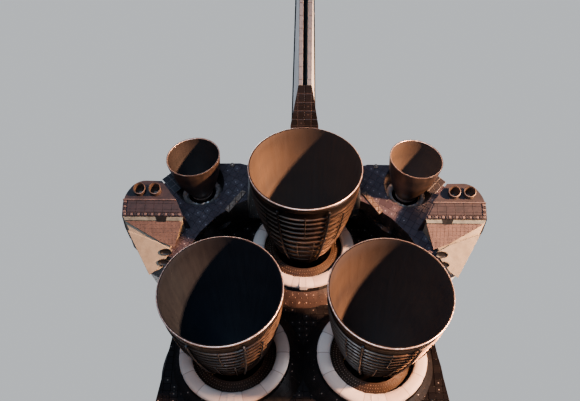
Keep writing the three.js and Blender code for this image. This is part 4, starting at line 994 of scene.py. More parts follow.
def main_bell():
    outer = [(r + BELL_WALL, h) for r, h in reversed(MAIN_CONTOUR)]
    head = [(14, 28), (21, 26.4), (21, 8), (10, 4), (4.2, 3), (3.4, -3.6), (0, -5)]
    bell = turned([(0, THROAT_AT - 4)] + MAIN_CONTOUR + outer + head, 96)
    wrap(bell, 100)
    paint_inside(bell, BELL_OUTSIDE, BELL_INSIDE, THROAT_AT - 6)
    return bell


def paint_inside(obj, outside, inside, low):
    """Two materials, the second on the faces that look at the axis."""
    two_looks(obj, outside, inside, lambda m, n: n.x * m.x + n.y * m.y < 0 and m.z > low)


def bell_bands():
    """Hat-section bands round the bell, and the rounded manifold under its lip."""
    made = []
    for height in BANDS:
        near, far = height - 1.2, height + 1.2
        low, high = (radius_at(MAIN_CONTOUR, h) + BELL_WALL - 0.1 for h in (near, far))
        proud = 1.15
        profile = [
            (low, near),
            (low + proud, near + 0.5),
            (high + proud, far - 0.5),
            (high, far),
            (low, near),
        ]
        made.append(turned(profile, 96, 20))
    rim = radius_at(MAIN_CONTOUR, MOUTH_AT - 5) + BELL_WALL
    profile = [
        (rim - 0.3, 152.6), (rim + 0.7, 153.6), (rim + 0.9, 155), (rim + 0.5, 156.6), (rim - 0.3, 157.4),
    ]
    made.append(turned(profile + [profile[0]], 96, 50))
    bands = joined(made)
    wrap(bands, 100)
    return bands


def bell_lip():
    return turned(rolled(46.25, MOUTH_AT - 0.75, 0.75, 10), 120, 60)


def bell_ducts():
    """Two upright coolant ducts, their branches, and small braces between the bands."""
    made = []

    def along(turn, out, heights):
        return [
            Vector((
                (radius_at(MAIN_CONTOUR, h) + BELL_WALL + out) * sin(turn),
                -(radius_at(MAIN_CONTOUR, h) + BELL_WALL + out) * cos(turn),
                h,
            ))
            for h in heights
        ]

    for degrees in (-28, 24, 150):
        turn = radians(degrees)
        heights = [71 + 6 * i for i in range(14)] + [152]
        made.append(pipe(along(turn, 1.9, heights), 0.95))
        for h in (75, 96, 114, 134):
            made.append(pipe(along(turn, 0.2, (h, h + 0.1)) + along(turn, 2.6, (h,)), 0.6, 6))
    branches = ((0, 120, 148), (-9, 84, 112), (12, 72, 108), (-46, 108, 146), (44, 100, 140))
    for degrees, low, high in branches:
        turn = radians(degrees)
        steps = max(2, int((high - low) / 6))
        heights = [low + (high - low) * i / steps for i in range(steps + 1)]
        made.append(pipe(along(turn, 1.3, heights), 0.5, 8))
    return joined(made)


def engine_shield(upper):
    """The domed plate that closes the space between the bell and its ring."""
    outline = arc(SHIELD_RADIUS, 23.4, 42.4, 8) + arc(SHIELD_RADIUS - 1.2, 42.4, 23.4, 8)
    shield = turned(outline + outline[:1], 96)
    if upper:
        lean = radians(5)
        axis = Vector((0, -sin(lean), cos(lean)))
        spot = axis * (SHIELD_RADIUS * cos(radians(37.5)))
        worked(shield, bpy.ops.mesh.bisect, plane_co=spot, plane_no=-axis, clear_outer=True, use_fill=True)
        smooth(shield)
    return shield


def dome_dots(radius, rows, size, each=3.2, lowest=7.0):
    """Rows of small rounded heads on a dome, those whose y is below a share of the radius."""
    bpy.ops.mesh.primitive_ico_sphere_add(subdivisions=1, radius=size)
    dot = active()
    worked(
        dot, bpy.ops.mesh.bisect,
        plane_co=(0, 0, -size * 0.2), plane_no=(0, 0, 1), clear_inner=True, use_fill=True,
    )
    made = []
    for degrees in rows:
        count = int(degrees * each)
        for i in range(count):
            turn = 2 * pi * (i + 0.5 * (int(degrees) % 2)) / count
            lean = radians(degrees)
            spot = Vector((sin(lean) * cos(turn), sin(lean) * sin(turn), cos(lean)))
            if spot.y > lowest:
                continue
            one = dot.copy()
            one.data = dot.data.copy()
            tilt = spot.to_track_quat("Z", "Y").to_matrix().to_4x4()
            one.matrix_world = Matrix.Translation(spot * radius) @ tilt
            bpy.context.scene.collection.objects.link(one)
            made.append(one)
    bpy.data.objects.remove(dot)
    dots = joined(made)
    only(dots)
    bpy.ops.object.transform_apply()
    return dots


def closeout_ring():
    """A quilted blanket ring whose parts puff up between their sewn joints."""
    sides = RING_PARTS * 8
    profile = [
        (34.4, 56.2), (34.6, 58.2), (35.6, 59.3), (38, 59.75), (41.5, 59.7), (44.3, 59.2),
        (45.3, 58), (45.5, 56.6), (45.2, 55.6), (35, 55.5), (34.4, 56.2),
    ]
    ring = turned(profile, sides, 60)
    open_mesh(ring, "VERT")
    step = 2 * pi / RING_PARTS

    def on_seam(point):
        turn = (atan2(point.y, point.x) + pi) / step
        return abs(turn - round(turn)) < 0.04 and point.z > 56.5

    pick_points(on_seam)
    bpy.ops.transform.shrink_fatten(value=-0.35)
    close_mesh()
    wrap(ring, 100)
    return ring


def ring_clamp():
    """The small sewn block where the ring's ends meet at the bottom."""
    clamp = block((-3.4, -46.6, 55.2), (3.4, -36.2, 60.3), 0.5, 2)
    worked(clamp, bpy.ops.mesh.inset, lambda middle, normal: normal.z > 0.9, thickness=0.8, depth=-0.35)
    wrap(clamp, 100)
    return clamp


def dome_tiles():
    """The domed part of the base round an engine, covered in small tiles."""
    dome = raised_tiles(turned(arc(69.15, 41.5, 74, 9), 66, 20), 0.1, 0.12, 0.5)
    smooth(dome, 12)
    return dome


def fitted(parts, place, word):
    """A copy of each model in a frame. In its names, # stands for the engine's own word."""
    made = []
    for model, look, slot, *names in parts:
        piece = copied(model)
        settle(piece, place)
        name, body, *stands = (each.replace("#", word) for each in names)
        made.append(finished(piece, name, body, look, stands))
    return made


def main_engines():
    own = "main_engine_#"
    rivets = dome_dots(SHIELD_RADIUS + 0.1, (25.4, 27.6, 29.8, 32), 0.34)
    parts = (
        (main_bell(), None, "nozzle_steel", "main_engine_bell_#", own, own),
        (bell_bands(), BELL_BAND, "nozzle_steel", "bell_bands_#", own),
        (bell_lip(), LIP_COPPER_AND_HIGHLIGHT, "nozzle_steel", "bell_lip_#", own),
        (bell_ducts(), DUCT_STEEL, "nozzle_steel", "bell_ducts_#", own),
        (rivets, RIVET, "shield_metal", "shield_rivets_#", own),
        (closeout_ring(), RING_CLOTH, "pink_blanket", "closeout_blanket_#", "airframe", "closeout_ring_#"),
        (ring_clamp(), RING_CLOTH, "pink_blanket", "closeout_clamp_#", "airframe"),
        (dome_tiles(), DOME_TILE, "black_tile", "base_dome_tiles_#", "airframe"),
    )
    for row in MAIN_ENGINES:
        number, place = row[0], engine_frame(row)
        bell, *_, blanket, _, tiles = fitted(parts, place, number)
        # Painted shade: engines 2 and 3 get the darker insides
        if number in BELL_PAINTED_SHADE:
            bell.data.materials[1] = BELL_PAINTED_SHADE[number]
        else:
            # Engine 1's dome takes the brown copy: painted warm light
            tiles.data.materials[0] = DOME_WARM_LIGHT_TILE
        shield = engine_shield(number == "1")
        settle(shield, place)
        name = "engine_shield_" + number
        finished(shield, name + "_plate", "main_engine_" + number, SHIELD_BROWN, [name])
    for model, *_ in parts:
        bpy.data.objects.remove(model)
    studs = dome_dots(69.4, (43, 46, 50, 54, 58, 62), 0.38, 1.3, -0.35)
    settle(studs, engine_frame(MAIN_ENGINES[0]))
    finished(studs, "base_dome_studs", "airframe", RIVET)


main_engines()

# Orbital engines: modelled once and copied

ORBITAL_CONTOUR = bell_contour(10, 59.76, 4, 22.4, 14)
ORBITAL_WALL = 0.5


def orbital_nozzle():
    outer = [(r + ORBITAL_WALL, h) for r, h in reversed(ORBITAL_CONTOUR)]
    profile = [(0, 8)] + ORBITAL_CONTOUR + outer + [(4.9, 4), (2.6, 2), (2.2, -2.2), (0, -3)]
    nozzle = turned(profile, 72)
    wrap(nozzle, 40)
    paint_inside(nozzle, ORBITAL_OUTSIDE, BELL_INSIDE, 7)
    return nozzle


def orbital_trim():
    """The nozzle's rolled lip and the two bands of its joint."""
    made = [turned(rolled(22.4, 59.3, 0.5, 8), 72, 60)]
    for height, half, proud in ((14, 0.7, 1.4), (15.8, 0.5, 1.1)):
        wall = radius_at(ORBITAL_CONTOUR, height) + ORBITAL_WALL
        profile = [
            (wall - 0.2, height - half),
            (wall + proud, height - half * 0.6),
            (wall + proud, height + half * 0.6),
            (wall - 0.2, height + half),
            (wall - 0.2, height - half),
        ]
        made.append(turned(profile, 48, 30))
    return joined(made)


def orbital_drum():
    """The tapered tiled drum that the nozzle comes out of."""
    profile = [
        (26, -12), (24.9, -4), (22.6, 4), (20, 10.6), (18.9, 14.6), (18.3, 15.6), (17.3, 15.6),
        (16.9, 14), (16.9, 12), (12.4, 11), (11.4, 6), (12.6, 2), (24, -13), (26, -12),
    ]
    drum = turned(profile, 40, 28)
    worked(
        drum, bpy.ops.mesh.inset,
        lambda middle, normal: normal.z < 0.75 and -8 < middle.z < 13 and middle.xy.length > 19,
        use_individual=True, thickness=0.12, depth=0.15,
    )
    return drum


def orbital_boot():
    """The crumpled foil that closes the drum round the nozzle's neck."""
    profile = [
        (11.5, 12.4), (12.2, 14.3), (14.2, 13.7), (16, 14.2), (17.2, 15), (17, 12.6), (13, 11.6), (11.5, 12.4),
    ]
    boot = turned(profile, 40, 70)
    worked(boot, bpy.ops.mesh.subdivide, number_cuts=1)
    draw = random.Random(7)
    for vert in boot.data.vertices:
        push = 1 + draw.uniform(-0.012, 0.012)
        vert.co = Vector((vert.co.x * push, vert.co.y * push, vert.co.z + draw.uniform(-0.4, 0.4)))
    return boot


def drum_fittings():
    """Small bolts round the drum and the two little brackets on its rim."""
    made = []
    bpy.ops.mesh.primitive_ico_sphere_add(subdivisions=1, radius=0.45)
    bolt = active()
    for radius, height, count in ((25.1, -4, 18), (22.8, 4, 16), (19.1, 14.6, 24)):
        for i in range(count):
            turn = 2 * pi * (i + 0.3) / count
            one = copied(bolt)
            one.location = (radius * cos(turn), radius * sin(turn), height)
            made.append(one)
    bpy.data.objects.remove(bolt)
    for degrees in (-150, -35):
        bracket = block((-1.6, 18.4, 8), (1.6, 22.4, 15.4), 0.5, 2)
        only(bracket)
        bpy.ops.transform.rotate(
            value=-radians(degrees - 90), orient_axis="Z", center_override=(0, 0, 0)
        )
        made.append(bracket)
    fittings = joined(made)
    bpy.ops.object.transform_apply()
    return fittings


def orbital_engines():
    own = "#_orbital_engine_nozzle"
    parts = (
        (orbital_nozzle(), None, "nozzle_steel", "#_orbital_nozzle", own, own),
        (orbital_trim(), LIP_COPPER_AND_HIGHLIGHT, "nozzle_steel", "#_orbital_nozzle_trim", own),
        (orbital_drum(), DRUM_TILE, "black_tile", "#_orbital_drum", "airframe"),
        (orbital_boot(), FOIL, "shield_metal", "#_orbital_boot", "airframe"),
        (drum_fittings(), DUCT_STEEL, "shield_metal", "#_orbital_drum_fittings", "airframe"),
    )
    for row in ORBITAL_ENGINES:
        nozzle = fitted(parts, engine_frame(row), row[0])[0]
        # Painted shade: the left nozzle takes the darker inside
        if row[0] == "left":
            nozzle.data.materials[1] = LEFT_ORBITAL_PAINTED_SHADE
    for model, *_ in parts:
        bpy.data.objects.remove(model)


orbital_engines()

# The base: tiles on its flat parts, the wedge under the fin, and the thruster housings

BASE_LOW, BASE_WATER, BASE_SLOPE = 1522, 285, 0.19


def base_station(water):
    return BASE_LOW - (water - BASE_WATER) * BASE_SLOPE


def base_tiles():
    """Tiles over the flat of the base, left out where the domes stand."""
    corner = at(base_station(400) + 0.1, 0, 400)
    up = at(base_station(401) + 0.1, 0, 401) - corner
    place = on_plane(corner, Vector((1, 0, 0)), up)
    plain = TO_INCHES @ place
    rise = math.hypot(1, BASE_SLOPE)

    def clear_of_domes(middle):
        spot = plain @ middle
        return all(
            (spot - at(row[1], row[2], row[3])).length > 69.5 for row in MAIN_ENGINES
        )

    low = [(-125.4, -128 * rise), (125.4, -128 * rise), (106.6, 0), (-106.6, 0)]
    high = [
        (106.6 * cos(radians(t)), 97 * rise * sin(radians(t)))
        for t in range(0, 181, 15)
    ]
    for name, outline in (("base_tiles_low", low), ("base_tiles_high", high)):
        sheet = tiled(outline, (6, 6), keep=clear_of_domes)
        settle(sheet, place)
        finished(sheet, name, "airframe", BASE_TILE)


base_tiles()


FIN_FOOT = ((504, 14.1, 1482), (523, 13.7, 1520), (552, 12.4, 1555), (575.7, 5.8, 1583.5))


def fin_foot():
    """Tiles with red-brown joints on the fin's widening foot."""
    for i, (low, high) in enumerate(zip(FIN_FOOT, FIN_FOOT[1:])):
        corner = at(low[2] + 0.1, 0, low[0])
        up = at(high[2] + 0.1, 0, high[0]) - corner
        place = on_plane(corner, Vector((1, 0, 0)), up)
        outline = [(-low[1], 0), (low[1], 0), (high[1], up.length), (-high[1], up.length)]
        sheet = tiled(outline, (7, 6.2), gap=0.3)
        settle(sheet, place)
        finished(sheet, "fin_foot_tiles_%d" % (i + 1), "airframe", GROUT_TILE)


fin_foot()

# The thruster housings: skin, keel, tile panels, seal strip, tubes and ports


def moved_corner(obj, corner, to):
    """Moves one corner of a block in edit mode."""
    corner, to = Vector(corner), Vector(to)
    open_mesh(obj, "VERT")
    pick_points(lambda point: (point - corner).length < 0.2)
    bpy.ops.transform.translate(value=to - corner)
    close_mesh()


def housing_keel():
    """The wedge below the housing, cut back towards the fuselage side."""
    keel = block((100.5, -1565, 421), (151.5, -1500, 457))
    moved_corner(keel, (100.5, -1565, 421), (121.5, -1532, 423))
    moved_corner(keel, (151.5, -1565, 421), (131, -1529, 420))
    moved_corner(keel, (100.5, -1500, 421), (112, -1500, 452))
    moved_corner(keel, (151.5, -1500, 421), (146, -1500, 452))
    moved_corner(keel, (100.5, -1565, 457), (101.5, -1563.5, 456.6))
    moved_corner(keel, (151.5, -1565, 457), (150.8, -1563.5, 456.6))
    worked(keel, bpy.ops.mesh.bevel, kind="EDGE", offset=0.5, segments=2)
    smooth(keel)
    return keel


def thruster_tube(length=5.0, bore=4.2):
    """A short flared tube with a rolled rim, open to a dark throat."""
    profile = [
        (0, -6), (2, -6), (3, -4.6), (bore - 0.3, -1), (bore, length - 0.8), (bore + 0.45, length),
        (bore + 1, length - 0.2), (bore + 1, length - 1), (bore + 0.6, length - 1.6), (bore + 0.8, -1),
        (bore + 0.5, -7), (0, -7),
    ]
    tube = turned(profile, 28, 30)
    wrap(tube, 10)
    return tube


def port_cup(radius):
    """A scarfed port: a dished throat inside a low rolled rim that stands on the skin."""
    profile = [
        (0, 0.12), (radius * 0.5, 0.16), (radius * 0.86, 0.34), (radius, 0.7), (radius + 0.3, 0.85),
        (radius + 0.6, 0.6), (radius + 0.75, 0), (radius + 0.5, -1), (0, -1),
    ]
    cup = turned(profile, 24, 40)
    wrap(cup, 10)
    return cup


UNDER_EDGE = 151.5


def housing_shell():
    """The housing's body above its underside, with the long corners rounded."""
    shell = bare("right_aft_thruster_housing")
    open_mesh(shell)
    bpy.ops.mesh.bisect(plane_co=(0, 0, 456.95), plane_no=(0, 0, 1), clear_inner=True, use_fill=True)
    bpy.ops.mesh.select_mode(type="EDGE")
    bpy.ops.mesh.select_all(action="DESELECT")
    mesh = bmesh.from_edit_mesh(shell.data)
    for edge in mesh.edges:
        turn = edge.calc_face_angle(0.0)
        outer = all(vert.co.x > 130 and vert.co.z > 470 for vert in edge.verts)
        if outer and edge.calc_length() > 20 and radians(22) < turn < radians(75):
            edge.select_set(True)
    mesh.select_flush_mode()
    bmesh.update_edit_mesh(shell.data)
    bpy.ops.mesh.bevel(offset=7.5, segments=5)
    close_mesh()
    smooth(shell, 30)
    settle(shell, AIRFRAME)
    pair(shell, "aft_thruster_housing_shell", "airframe", MAUVE_TILE, ["aft_thruster_housing"])


def housing_pieces():
    under = on_plane(at(1565.6, UNDER_EDGE, 456.6), Vector((-1, 0, 0)), Vector((0, 23.5, -24.3)))
    rear = on_plane(at(1565.1, 0, 0), Vector((1, 0, 0)), UP)
    pink = [(3, 4.2), (50, 4.2), (43, 27), (30.5, 22)]
    cream = [(1, 4.2), (29.5, 22.6), (42.6, 27.8), (28, 47.2), (20.8, 52.4)]
    strip = [(1, 0.4), (51, 0.4), (50, 3.6), (2.5, 3.6)]
    dark = [(28, 0.2), (37.5, 0.2), (36.5, 4.4), (29, 4.4)]
    made = []
    for name, outline, size, raised, gap, look, place, slot in (
        ("housing_pink_tiles", pink, (3.3, 3.3), 0.3, 0.1, PINK_TILE, under, "brown_tile"),
        ("housing_smooth_panel", cream, (60, 60), 0.45, 0.3, CREAM, under, "white_blanket"),
        ("housing_seal", strip, (60, 3.2), 0.6, 0.15, SEAL_GREY, under, "brown_tile"),
        ("housing_seal_gap", dark, (20, 5), 0.75, 0.1, GAP_PAINTED_SHADE, under, "black_tile"),
    ):
        sheet = tiled(outline, size, raised=raised, gap=gap)
        settle(sheet, place)
        made.append((sheet, name, look, slot))
    edge = [(109, 471.2), (147.6, 471.2), (147.6, 460.4), (103.4, 460.4)]
    panel = tiled(edge, (7.4, 5.4), raised=0.7, gap=0.1)
    settle(panel, rear)
    made.append((panel, "housing_panel", MAUVE_TILE, "brown_tile"))
    lip = block((107.5, -1566.9, 471.2), (151.8, -1564.6, 472.2), 0.25, 2)
    settle(lip, AIRFRAME)
    made.append((lip, "housing_ledge", BOLT_PALE, "brown_tile"))
    bolt_rows = (("housing_bolts_pale", BOLT_PALE, 0), ("housing_bolts_dark", BOLT_DARK, 1))
    for name, look, odd in bolt_rows:
        bolts = []
        for i in range(17):
            if i % 2 == odd:
                side = 102.6 + i * 2.85
                bolts.append(block((side, -1566.2, 457.4), (side + 2.2, -1564.8, 459.6), 0.3, 2))
        for i in range(5):
            if i % 2 == odd:
                water = 460.4 + i * 2.2
                bolts.append(block((148.6, -1566, water), (151.2, -1564.8, water + 1.8), 0.3, 2))
        row = joined(bolts)
        settle(row, AIRFRAME)
        made.append((row, name, look, "brown_tile"))
    keel = housing_keel()
    settle(keel, AIRFRAME)
    made.append((keel, "housing_keel", CREAM, "white_blanket"))
    cups = []
    for side, station, water in ((115.6, 1544, 434.2), (117.4, 1537.6, 427.6)):
        cup = port_cup(3.1)
        down = Vector((0, -0.719, -0.695))
        settle(cup, axis_free(at(station, side, water) + down * 0.9, down, 0.75, 1.4))
        cups.append(cup)
    ports = joined(cups)
    settle(ports, AIRFRAME)
    made.append((ports, "housing_lower_ports", PORT_PAINTED_SHADE, "nozzle_steel"))
    tubes = []
    for side in (125.5, 138.3):
        tube = thruster_tube()
        settle(tube, axis_free(at(1566, side, 480.4), Vector((0, -1, -0.06))))
        tubes.append(tube)
    pair_of_tubes = joined(tubes)
    settle(pair_of_tubes, AIRFRAME)
    made.append((pair_of_tubes, "aft_thruster_tubes", THRUSTER_STEEL, "nozzle_steel"))
    for piece, name, look, slot in made:
        pair(piece, name, "airframe", look)


def axis_free(place, axis, wide=1.0, long=1.0):
    """Like axis_frame, but in airframe inches and with its two cross widths stretched."""
    plain = TO_INCHES @ axis_frame(place, axis)
    return plain @ Matrix.Diagonal((long, wide, 1, 1))


housing_shell()
housing_pieces()

# The pods' tails

POD_BACK = 1541


def pale_slopes(tiles, place, face_look, edge_look):
    """Gives the sloping edges of raised tiles a look of their own."""
    facing = (place.to_3x3() @ UP).normalized()
    two_looks(tiles, face_look, edge_look, lambda middle, normal: 0.05 < normal.dot(facing) < 0.97)


def pod_tail():
    """Slanting tiles over the pod's flat back, with a pale-edged panel, a fitting and edge plates."""
    tiles = kept("right_orbital_engine_pod", lambda m, n: n.y < -0.95 and m.y < -1535)
    cut(tiles, (0.5, 0, 0.866), 6)
    cut(tiles, (-0.866, 0, 0.5), 6)
    raised_tiles(tiles, 0.1, 0.2)
    settle(tiles, AIRFRAME)
    pair(tiles, "pod_tail_tiles", "airframe", POD_TILE)
    rear = on_plane(at(POD_BACK + 0.5, 0, 0), Vector((1, 0, 0)), UP)
    squares = tiled([(0, -6), (12, -6), (12, 12), (0, 12)], (6, 6), raised=0.5, gap=0.4)
    turn = Matrix.Rotation(radians(-42), 4, "Z")
    settle(squares, Matrix.Translation((107.5, 503, 0)) @ turn)
    settle(squares, rear)
    pale_slopes(squares, rear, POD_SQUARE, PALE_EDGE)
    pair(squares, "pod_corner_panel", "airframe", None)
    ring = turned([(0.5, 0), (1.3, 0.2), (1.5, 0.9), (1.9, 0.9), (2.1, 0), (0.5, 0)], 20, 30)
    settle(ring, rear @ Matrix.Translation((63.4, 518.8, 0)))
    pair(ring, "pod_drain_fitting", "airframe", RIVET)
    # The plates' orange-brown is partly painted warm light
    plates = tiled([(50, 492), (54, 494), (68.5, 475), (64.5, 472)], (5, 4), raised=0.9, gap=0.2)
    settle(plates, rear)
    pair(plates, "pod_edge_plates", "airframe", PLATE_COPPER_AND_WARM_LIGHT)


pod_tail()


def rudder_edges():
    """A ladder of black tiles with pale joints down the rear edge of each rudder panel."""
    strip = kept("right_rudder_panel", lambda m, n: n.y < -0.7)
    cut(strip, UP, 10)
    raised_tiles(strip, 0.25, 0.2, 0.3)
    pale_slopes(strip, Matrix.Rotation(radians(90), 4, "X"), EDGE_BLACK, PALE_EDGE)
    settle(strip, AIRFRAME)
    pair(strip, "rudder_edge_tiles", "SIDE_rudder_panel", None)


rudder_edges()


BAY_MIDDLE = 400  # the height of the payload bay's axis


def in_bay(middle, normal):
    low = middle.z < 419 and abs(middle.x) < 91
    inward = middle.x * normal.x + (middle.z - BAY_MIDDLE) * normal.z < 0
    return low and -1309 < middle.y < -578 and inward


def in_nose_well(middle, normal):
    return abs(middle.x) < 21 and -402 < middle.y < -298 and middle.z < 328 and normal.z < 0.3


def in_main_well(middle, normal):
    return 108 < abs(middle.x) < 165 and -1202 < middle.y < -1050 and normal.z > -0.97 and normal.z < 0.2


def in_umbilical_well(middle, normal):
    side = abs(middle.x)
    return 50 < side < 98 and -1365 < middle.y < -1313 and 267 < middle.z < 278 and normal.z < 0.5


SKINS = (
    ("nose_cap", CARBON, "grey_carbon", None),
    ("forward_fuselage", NOSE_SKIN, "white_blanket", (in_nose_well, WELL_PAINT)),
    ("forward_thruster_module", NOSE_SKIN, "white_blanket", None),
    ("crew_hatch", NOSE_SKIN, "white_blanket", None),
    ("mid_fuselage", HULL_SKIN, "white_blanket", (in_bay, LINER)),
    ("aft_fuselage", HULL_SKIN, "white_blanket", (in_umbilical_well, WELL_PAINT)),
    ("vertical_stabilizer", FIN_SKIN, "white_blanket", None),
)
SIDE_SKINS = (
    ("payload_bay_door", DOOR_SKIN, "white_blanket", None),
    ("wing", WING_SKIN, "white_blanket", (in_main_well, WELL_PAINT)),
    ("wing_leading_edge", CARBON, "grey_carbon", None),
    ("inboard_elevon", WING_SKIN, "white_blanket", None),
    ("outboard_elevon", WING_SKIN, "white_blanket", None),
    ("rudder_panel", FIN_SKIN, "white_blanket", None),
    ("orbital_engine_pod", POD_SKIN, "white_blanket", None),
)


def painted(name, look):
    """Gives a carried CAD node its finish."""
    materials = frame["nodes"][name].data.materials
    materials.clear()
    materials.append(look)


for name, look in (
    ("base_heat_shield", BASE_TILE),
    ("body_flap", WING_SKIN),
    ("windshield_glass", GLASS),
    ("flight_deck", CABIN),
    ("crew_bulkhead", BULKHEAD),
    ("nose_strut", GEAR_PAINT),
    ("nose_fork", GEAR_PAINT),
    ("nose_wheel_rims", RIM_PAINT),
):
    painted(name, look)
for side, _ in SIDES:
    for name, look in (
        ("umbilical_door", BELLY_TILE),
        ("main_strut", GEAR_PAINT),
        ("main_wheel_rims", RIM_PAINT),
        ("main_gear_door", GEAR_DOOR),
        ("nose_gear_door", GEAR_DOOR),
    ):
        painted(side + "_" + name, look)

# Landing gear: grooved tyres, wheel faces with bolts, torque links and lines


def tyre(radius, width, rim, grooves):
    """A tyre with ribs between its tread grooves, rounded shoulders and a bead at the rim."""
    half = width / 2
    side_points = [
        (rim, -half * 0.72), (rim + 0.7, -half * 0.84), (radius * 0.72, -half), (radius * 0.86, -half * 0.97),
    ]
    shoulder = [(radius * 0.955, -half * 0.82), (radius * 0.99, -half * 0.6)]
    profile = side_points + shoulder
    for spot in grooves:
        groove = radius - 0.45
        profile += [(radius, spot - 0.35), (groove, spot - 0.22), (groove, spot + 0.22), (radius, spot + 0.35)]
    profile += [(r, -z) for r, z in reversed(side_points + shoulder)]
    return turned(profile + [profile[0]], 64, 28)


def wheel_face(rim, bolts):
    """A dished wheel face with pockets, a hub cap and a ring of bolts."""
    sides = bolts * 4
    face = turned(
        [(rim - 0.1, -0.4), (rim - 0.1, 0.4), (rim - 0.9, 0.6), (rim * 0.86, -0.1), (rim * 0.5, 0.3),
         (rim * 0.34, 0.9), (rim * 0.3, 1.6), (rim * 0.2, 1.9), (0, 2.0)], sides, 30,
    )
    step = 2 * pi / bolts

    def on_pocket(middle, normal):
        turn = atan2(middle.y, middle.x) / step
        ring = rim * 0.5 < middle.xy.length < rim * 0.86
        return ring and abs(turn - math.floor(turn) - 0.5) < 0.26

    worked(face, bpy.ops.mesh.inset, on_pocket, thickness=rim * 0.04, depth=-0.35)
    made = [face]
    circle = rim * 0.42
    for i in range(bolts):
        turn = step * i
        bpy.ops.mesh.primitive_cylinder_add(
            vertices=6, radius=rim * 0.05, depth=0.5,
            location=(circle * cos(turn), circle * sin(turn), 0.75),
        )
        bolt = active()
        worked(bolt, bpy.ops.mesh.bevel, kind="EDGE", offset=rim * 0.008)
        made.append(bolt)
    whole = joined(made)
    bpy.ops.object.transform_apply()
    return whole


def sideways(name, way=1, inset=0.0):
    """A frame in inches at the middle of a node, whose z points to a side."""
    low, high = (Vector(corner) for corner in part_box(name))
    middle = (low + high) / 2
    middle.x += way * inset * INCH
    turn = Matrix.Rotation(radians(90 * way), 4, "Y")
    return Matrix.Translation(middle) @ turn @ Matrix.Scale(INCH, 4)


def tyres_and_wheels():
    big = tyre(22.25, 15.3, 10.2, (-4, -1.4, 1.4, 4))
    small = tyre(16, 8.5, 7.7, (-1.8, 0, 1.8))
    big_face, small_face = wheel_face(9.9, 9), wheel_face(7.5, 8)
    rows = [("nose_tyre", small, small_face, "nose_wheels", 2.6)]
    for name in ("main_inner_tyre", "main_outer_tyre"):
        rows.append((name, big, big_face, "SIDE_main_wheels", 5.4))
    for side, _ in SIDES:
        for name, model, face, body, depth in rows:
            own_node = side + "_" + name
            own_body = body.replace("SIDE", side)
            ring = copied(model)
            settle(ring, sideways(own_node))
            finished(ring, own_node + "_tread", own_body, TYRE, [own_node])
            for way, word in ((1, "right"), (-1, "left")):
                disc = copied(face)
                settle(disc, sideways(own_node, way, depth))
                finished(disc, own_node + "_" + word + "_face", own_body, RIM_PAINT)
    for model in (big, small, big_face, small_face):
        bpy.data.objects.remove(model)


tyres_and_wheels()


def gear_details():
    """Chrome piston sleeves, torque links and hydraulic lines beside each leg."""
    for side, way in SIDES:
        low, high = (Vector(corner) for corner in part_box(side + "_main_wheel_rims"))
        hub = TO_INCHES @ ((low + high) / 2)
        x, y, z = hub
        steps = [(3.1, 8), (3.5, 8.6), (3.5, 11), (3.1, 11.6), (3.1, 26), (3.7, 26.6), (3.7, 30), (3.0, 30.6)]
        sleeve = turned(steps, 28, 30)
        settle(sleeve, AIRFRAME @ Matrix.Translation((x, y, z)))
        finished(sleeve, side + "_piston_sleeve", "airframe", CHROME)
        links = []
        for low_point, high_point in (((0, -6.6, 6), (0, -12.5, 19)), ((0, -12.5, 19), (0, -6.4, 33))):
            for offset in (-2.1, 2.1):
                ends = [
                    Vector((x + offset * (1 if p[1] > -10 else 0.35), y + p[1], z + p[2]))
                    for p in (low_point, high_point)
                ]
                links.append(pipe(ends, 0.8, 8))
        knee = [Vector((x + reach, y - 12.5, z + 19)) for reach in (-1.8, 1.8)]
        links.append(pipe(knee, 1.0, 8))
        built(links, side + "_torque_links", GEAR_PAINT)
        lines = []
        for offset, reach in ((-4.6, 44), (4.6, 46), (0.9, 50)):
            points = [
                Vector((x + offset * 0.6, y + 5.2 + 1.2 * sin(t * 3.1), z + 5 + reach * t))
                for t in (i / 12 for i in range(13))
            ]
            lines.append(pipe(points, 0.32, 6))
        built(lines, side + "_brake_lines", HOSE_BLACK)


gear_details()

# Payload bay: radiators under the doors, frames, side trays and the rib of each door


def bay_details():
    radiator = kept(
        "right_payload_bay_door",
        lambda m, n: m.x * n.x + (m.z - BAY_MIDDLE) * n.z < 0
        and abs(n.y) < 0.5 and abs(m.y + 943) < 362 and m.x > 6,
    )
    cut(radiator, (0, 1, 0), 181, -3)
    worked(radiator, bpy.ops.mesh.inset, thickness=2.2, depth=1.1)
    apply_modifier(radiator, "SOLIDIFY", thickness=0.4, offset=-1)
    smooth(radiator, 30)
    settle(radiator, AIRFRAME)
    pair(radiator, "radiator", "SIDE_payload_bay_door", RADIATOR)
    section = [
        (86.4, 0), (89.9, 0), (89.9, 3), (86.4, 3), (86.4, 2.4), (88.6, 2), (88.6, 1), (86.4, 0.6), (86.4, 0),
    ]
    frame_ring = turned(section, 64, 25)
    worked(
        frame_ring, bpy.ops.mesh.bisect,
        plane_co=(0, 12, 0), plane_no=(0, 1, 0), clear_outer=True, use_fill=True,
    )
    rings = []
    for i in range(12):
        one = copied(frame_ring)
        settle(one, TO_INCHES @ axis_frame(at(610 + i * 59, 0, BAY_MIDDLE), Vector((0, -1, 0))))
        rings.append(one)
    bpy.data.objects.remove(frame_ring)
    built(rings, "bay_frames", FRAME_METAL)
    trays = []
    for way in (-1, 1):
        low_x, high_x = sorted((way * 70, way * 62))
        tray = block((low_x, -1296, 340), (high_x, -592, 346), 0.8, 2)
        worked(tray, bpy.ops.mesh.inset, lambda middle, normal: normal.z > 0.9, thickness=0.9, depth=-1.4)
        trays.append(tray)
        low, high = sorted_corner(way * 86.5, -1300, 410)[0], sorted_corner(way * 89.6, -588, 415)[1]
        trays.append(block(low, high, 0.5, 2))
    built(trays, "bay_trays_and_rails", FRAME_METAL)


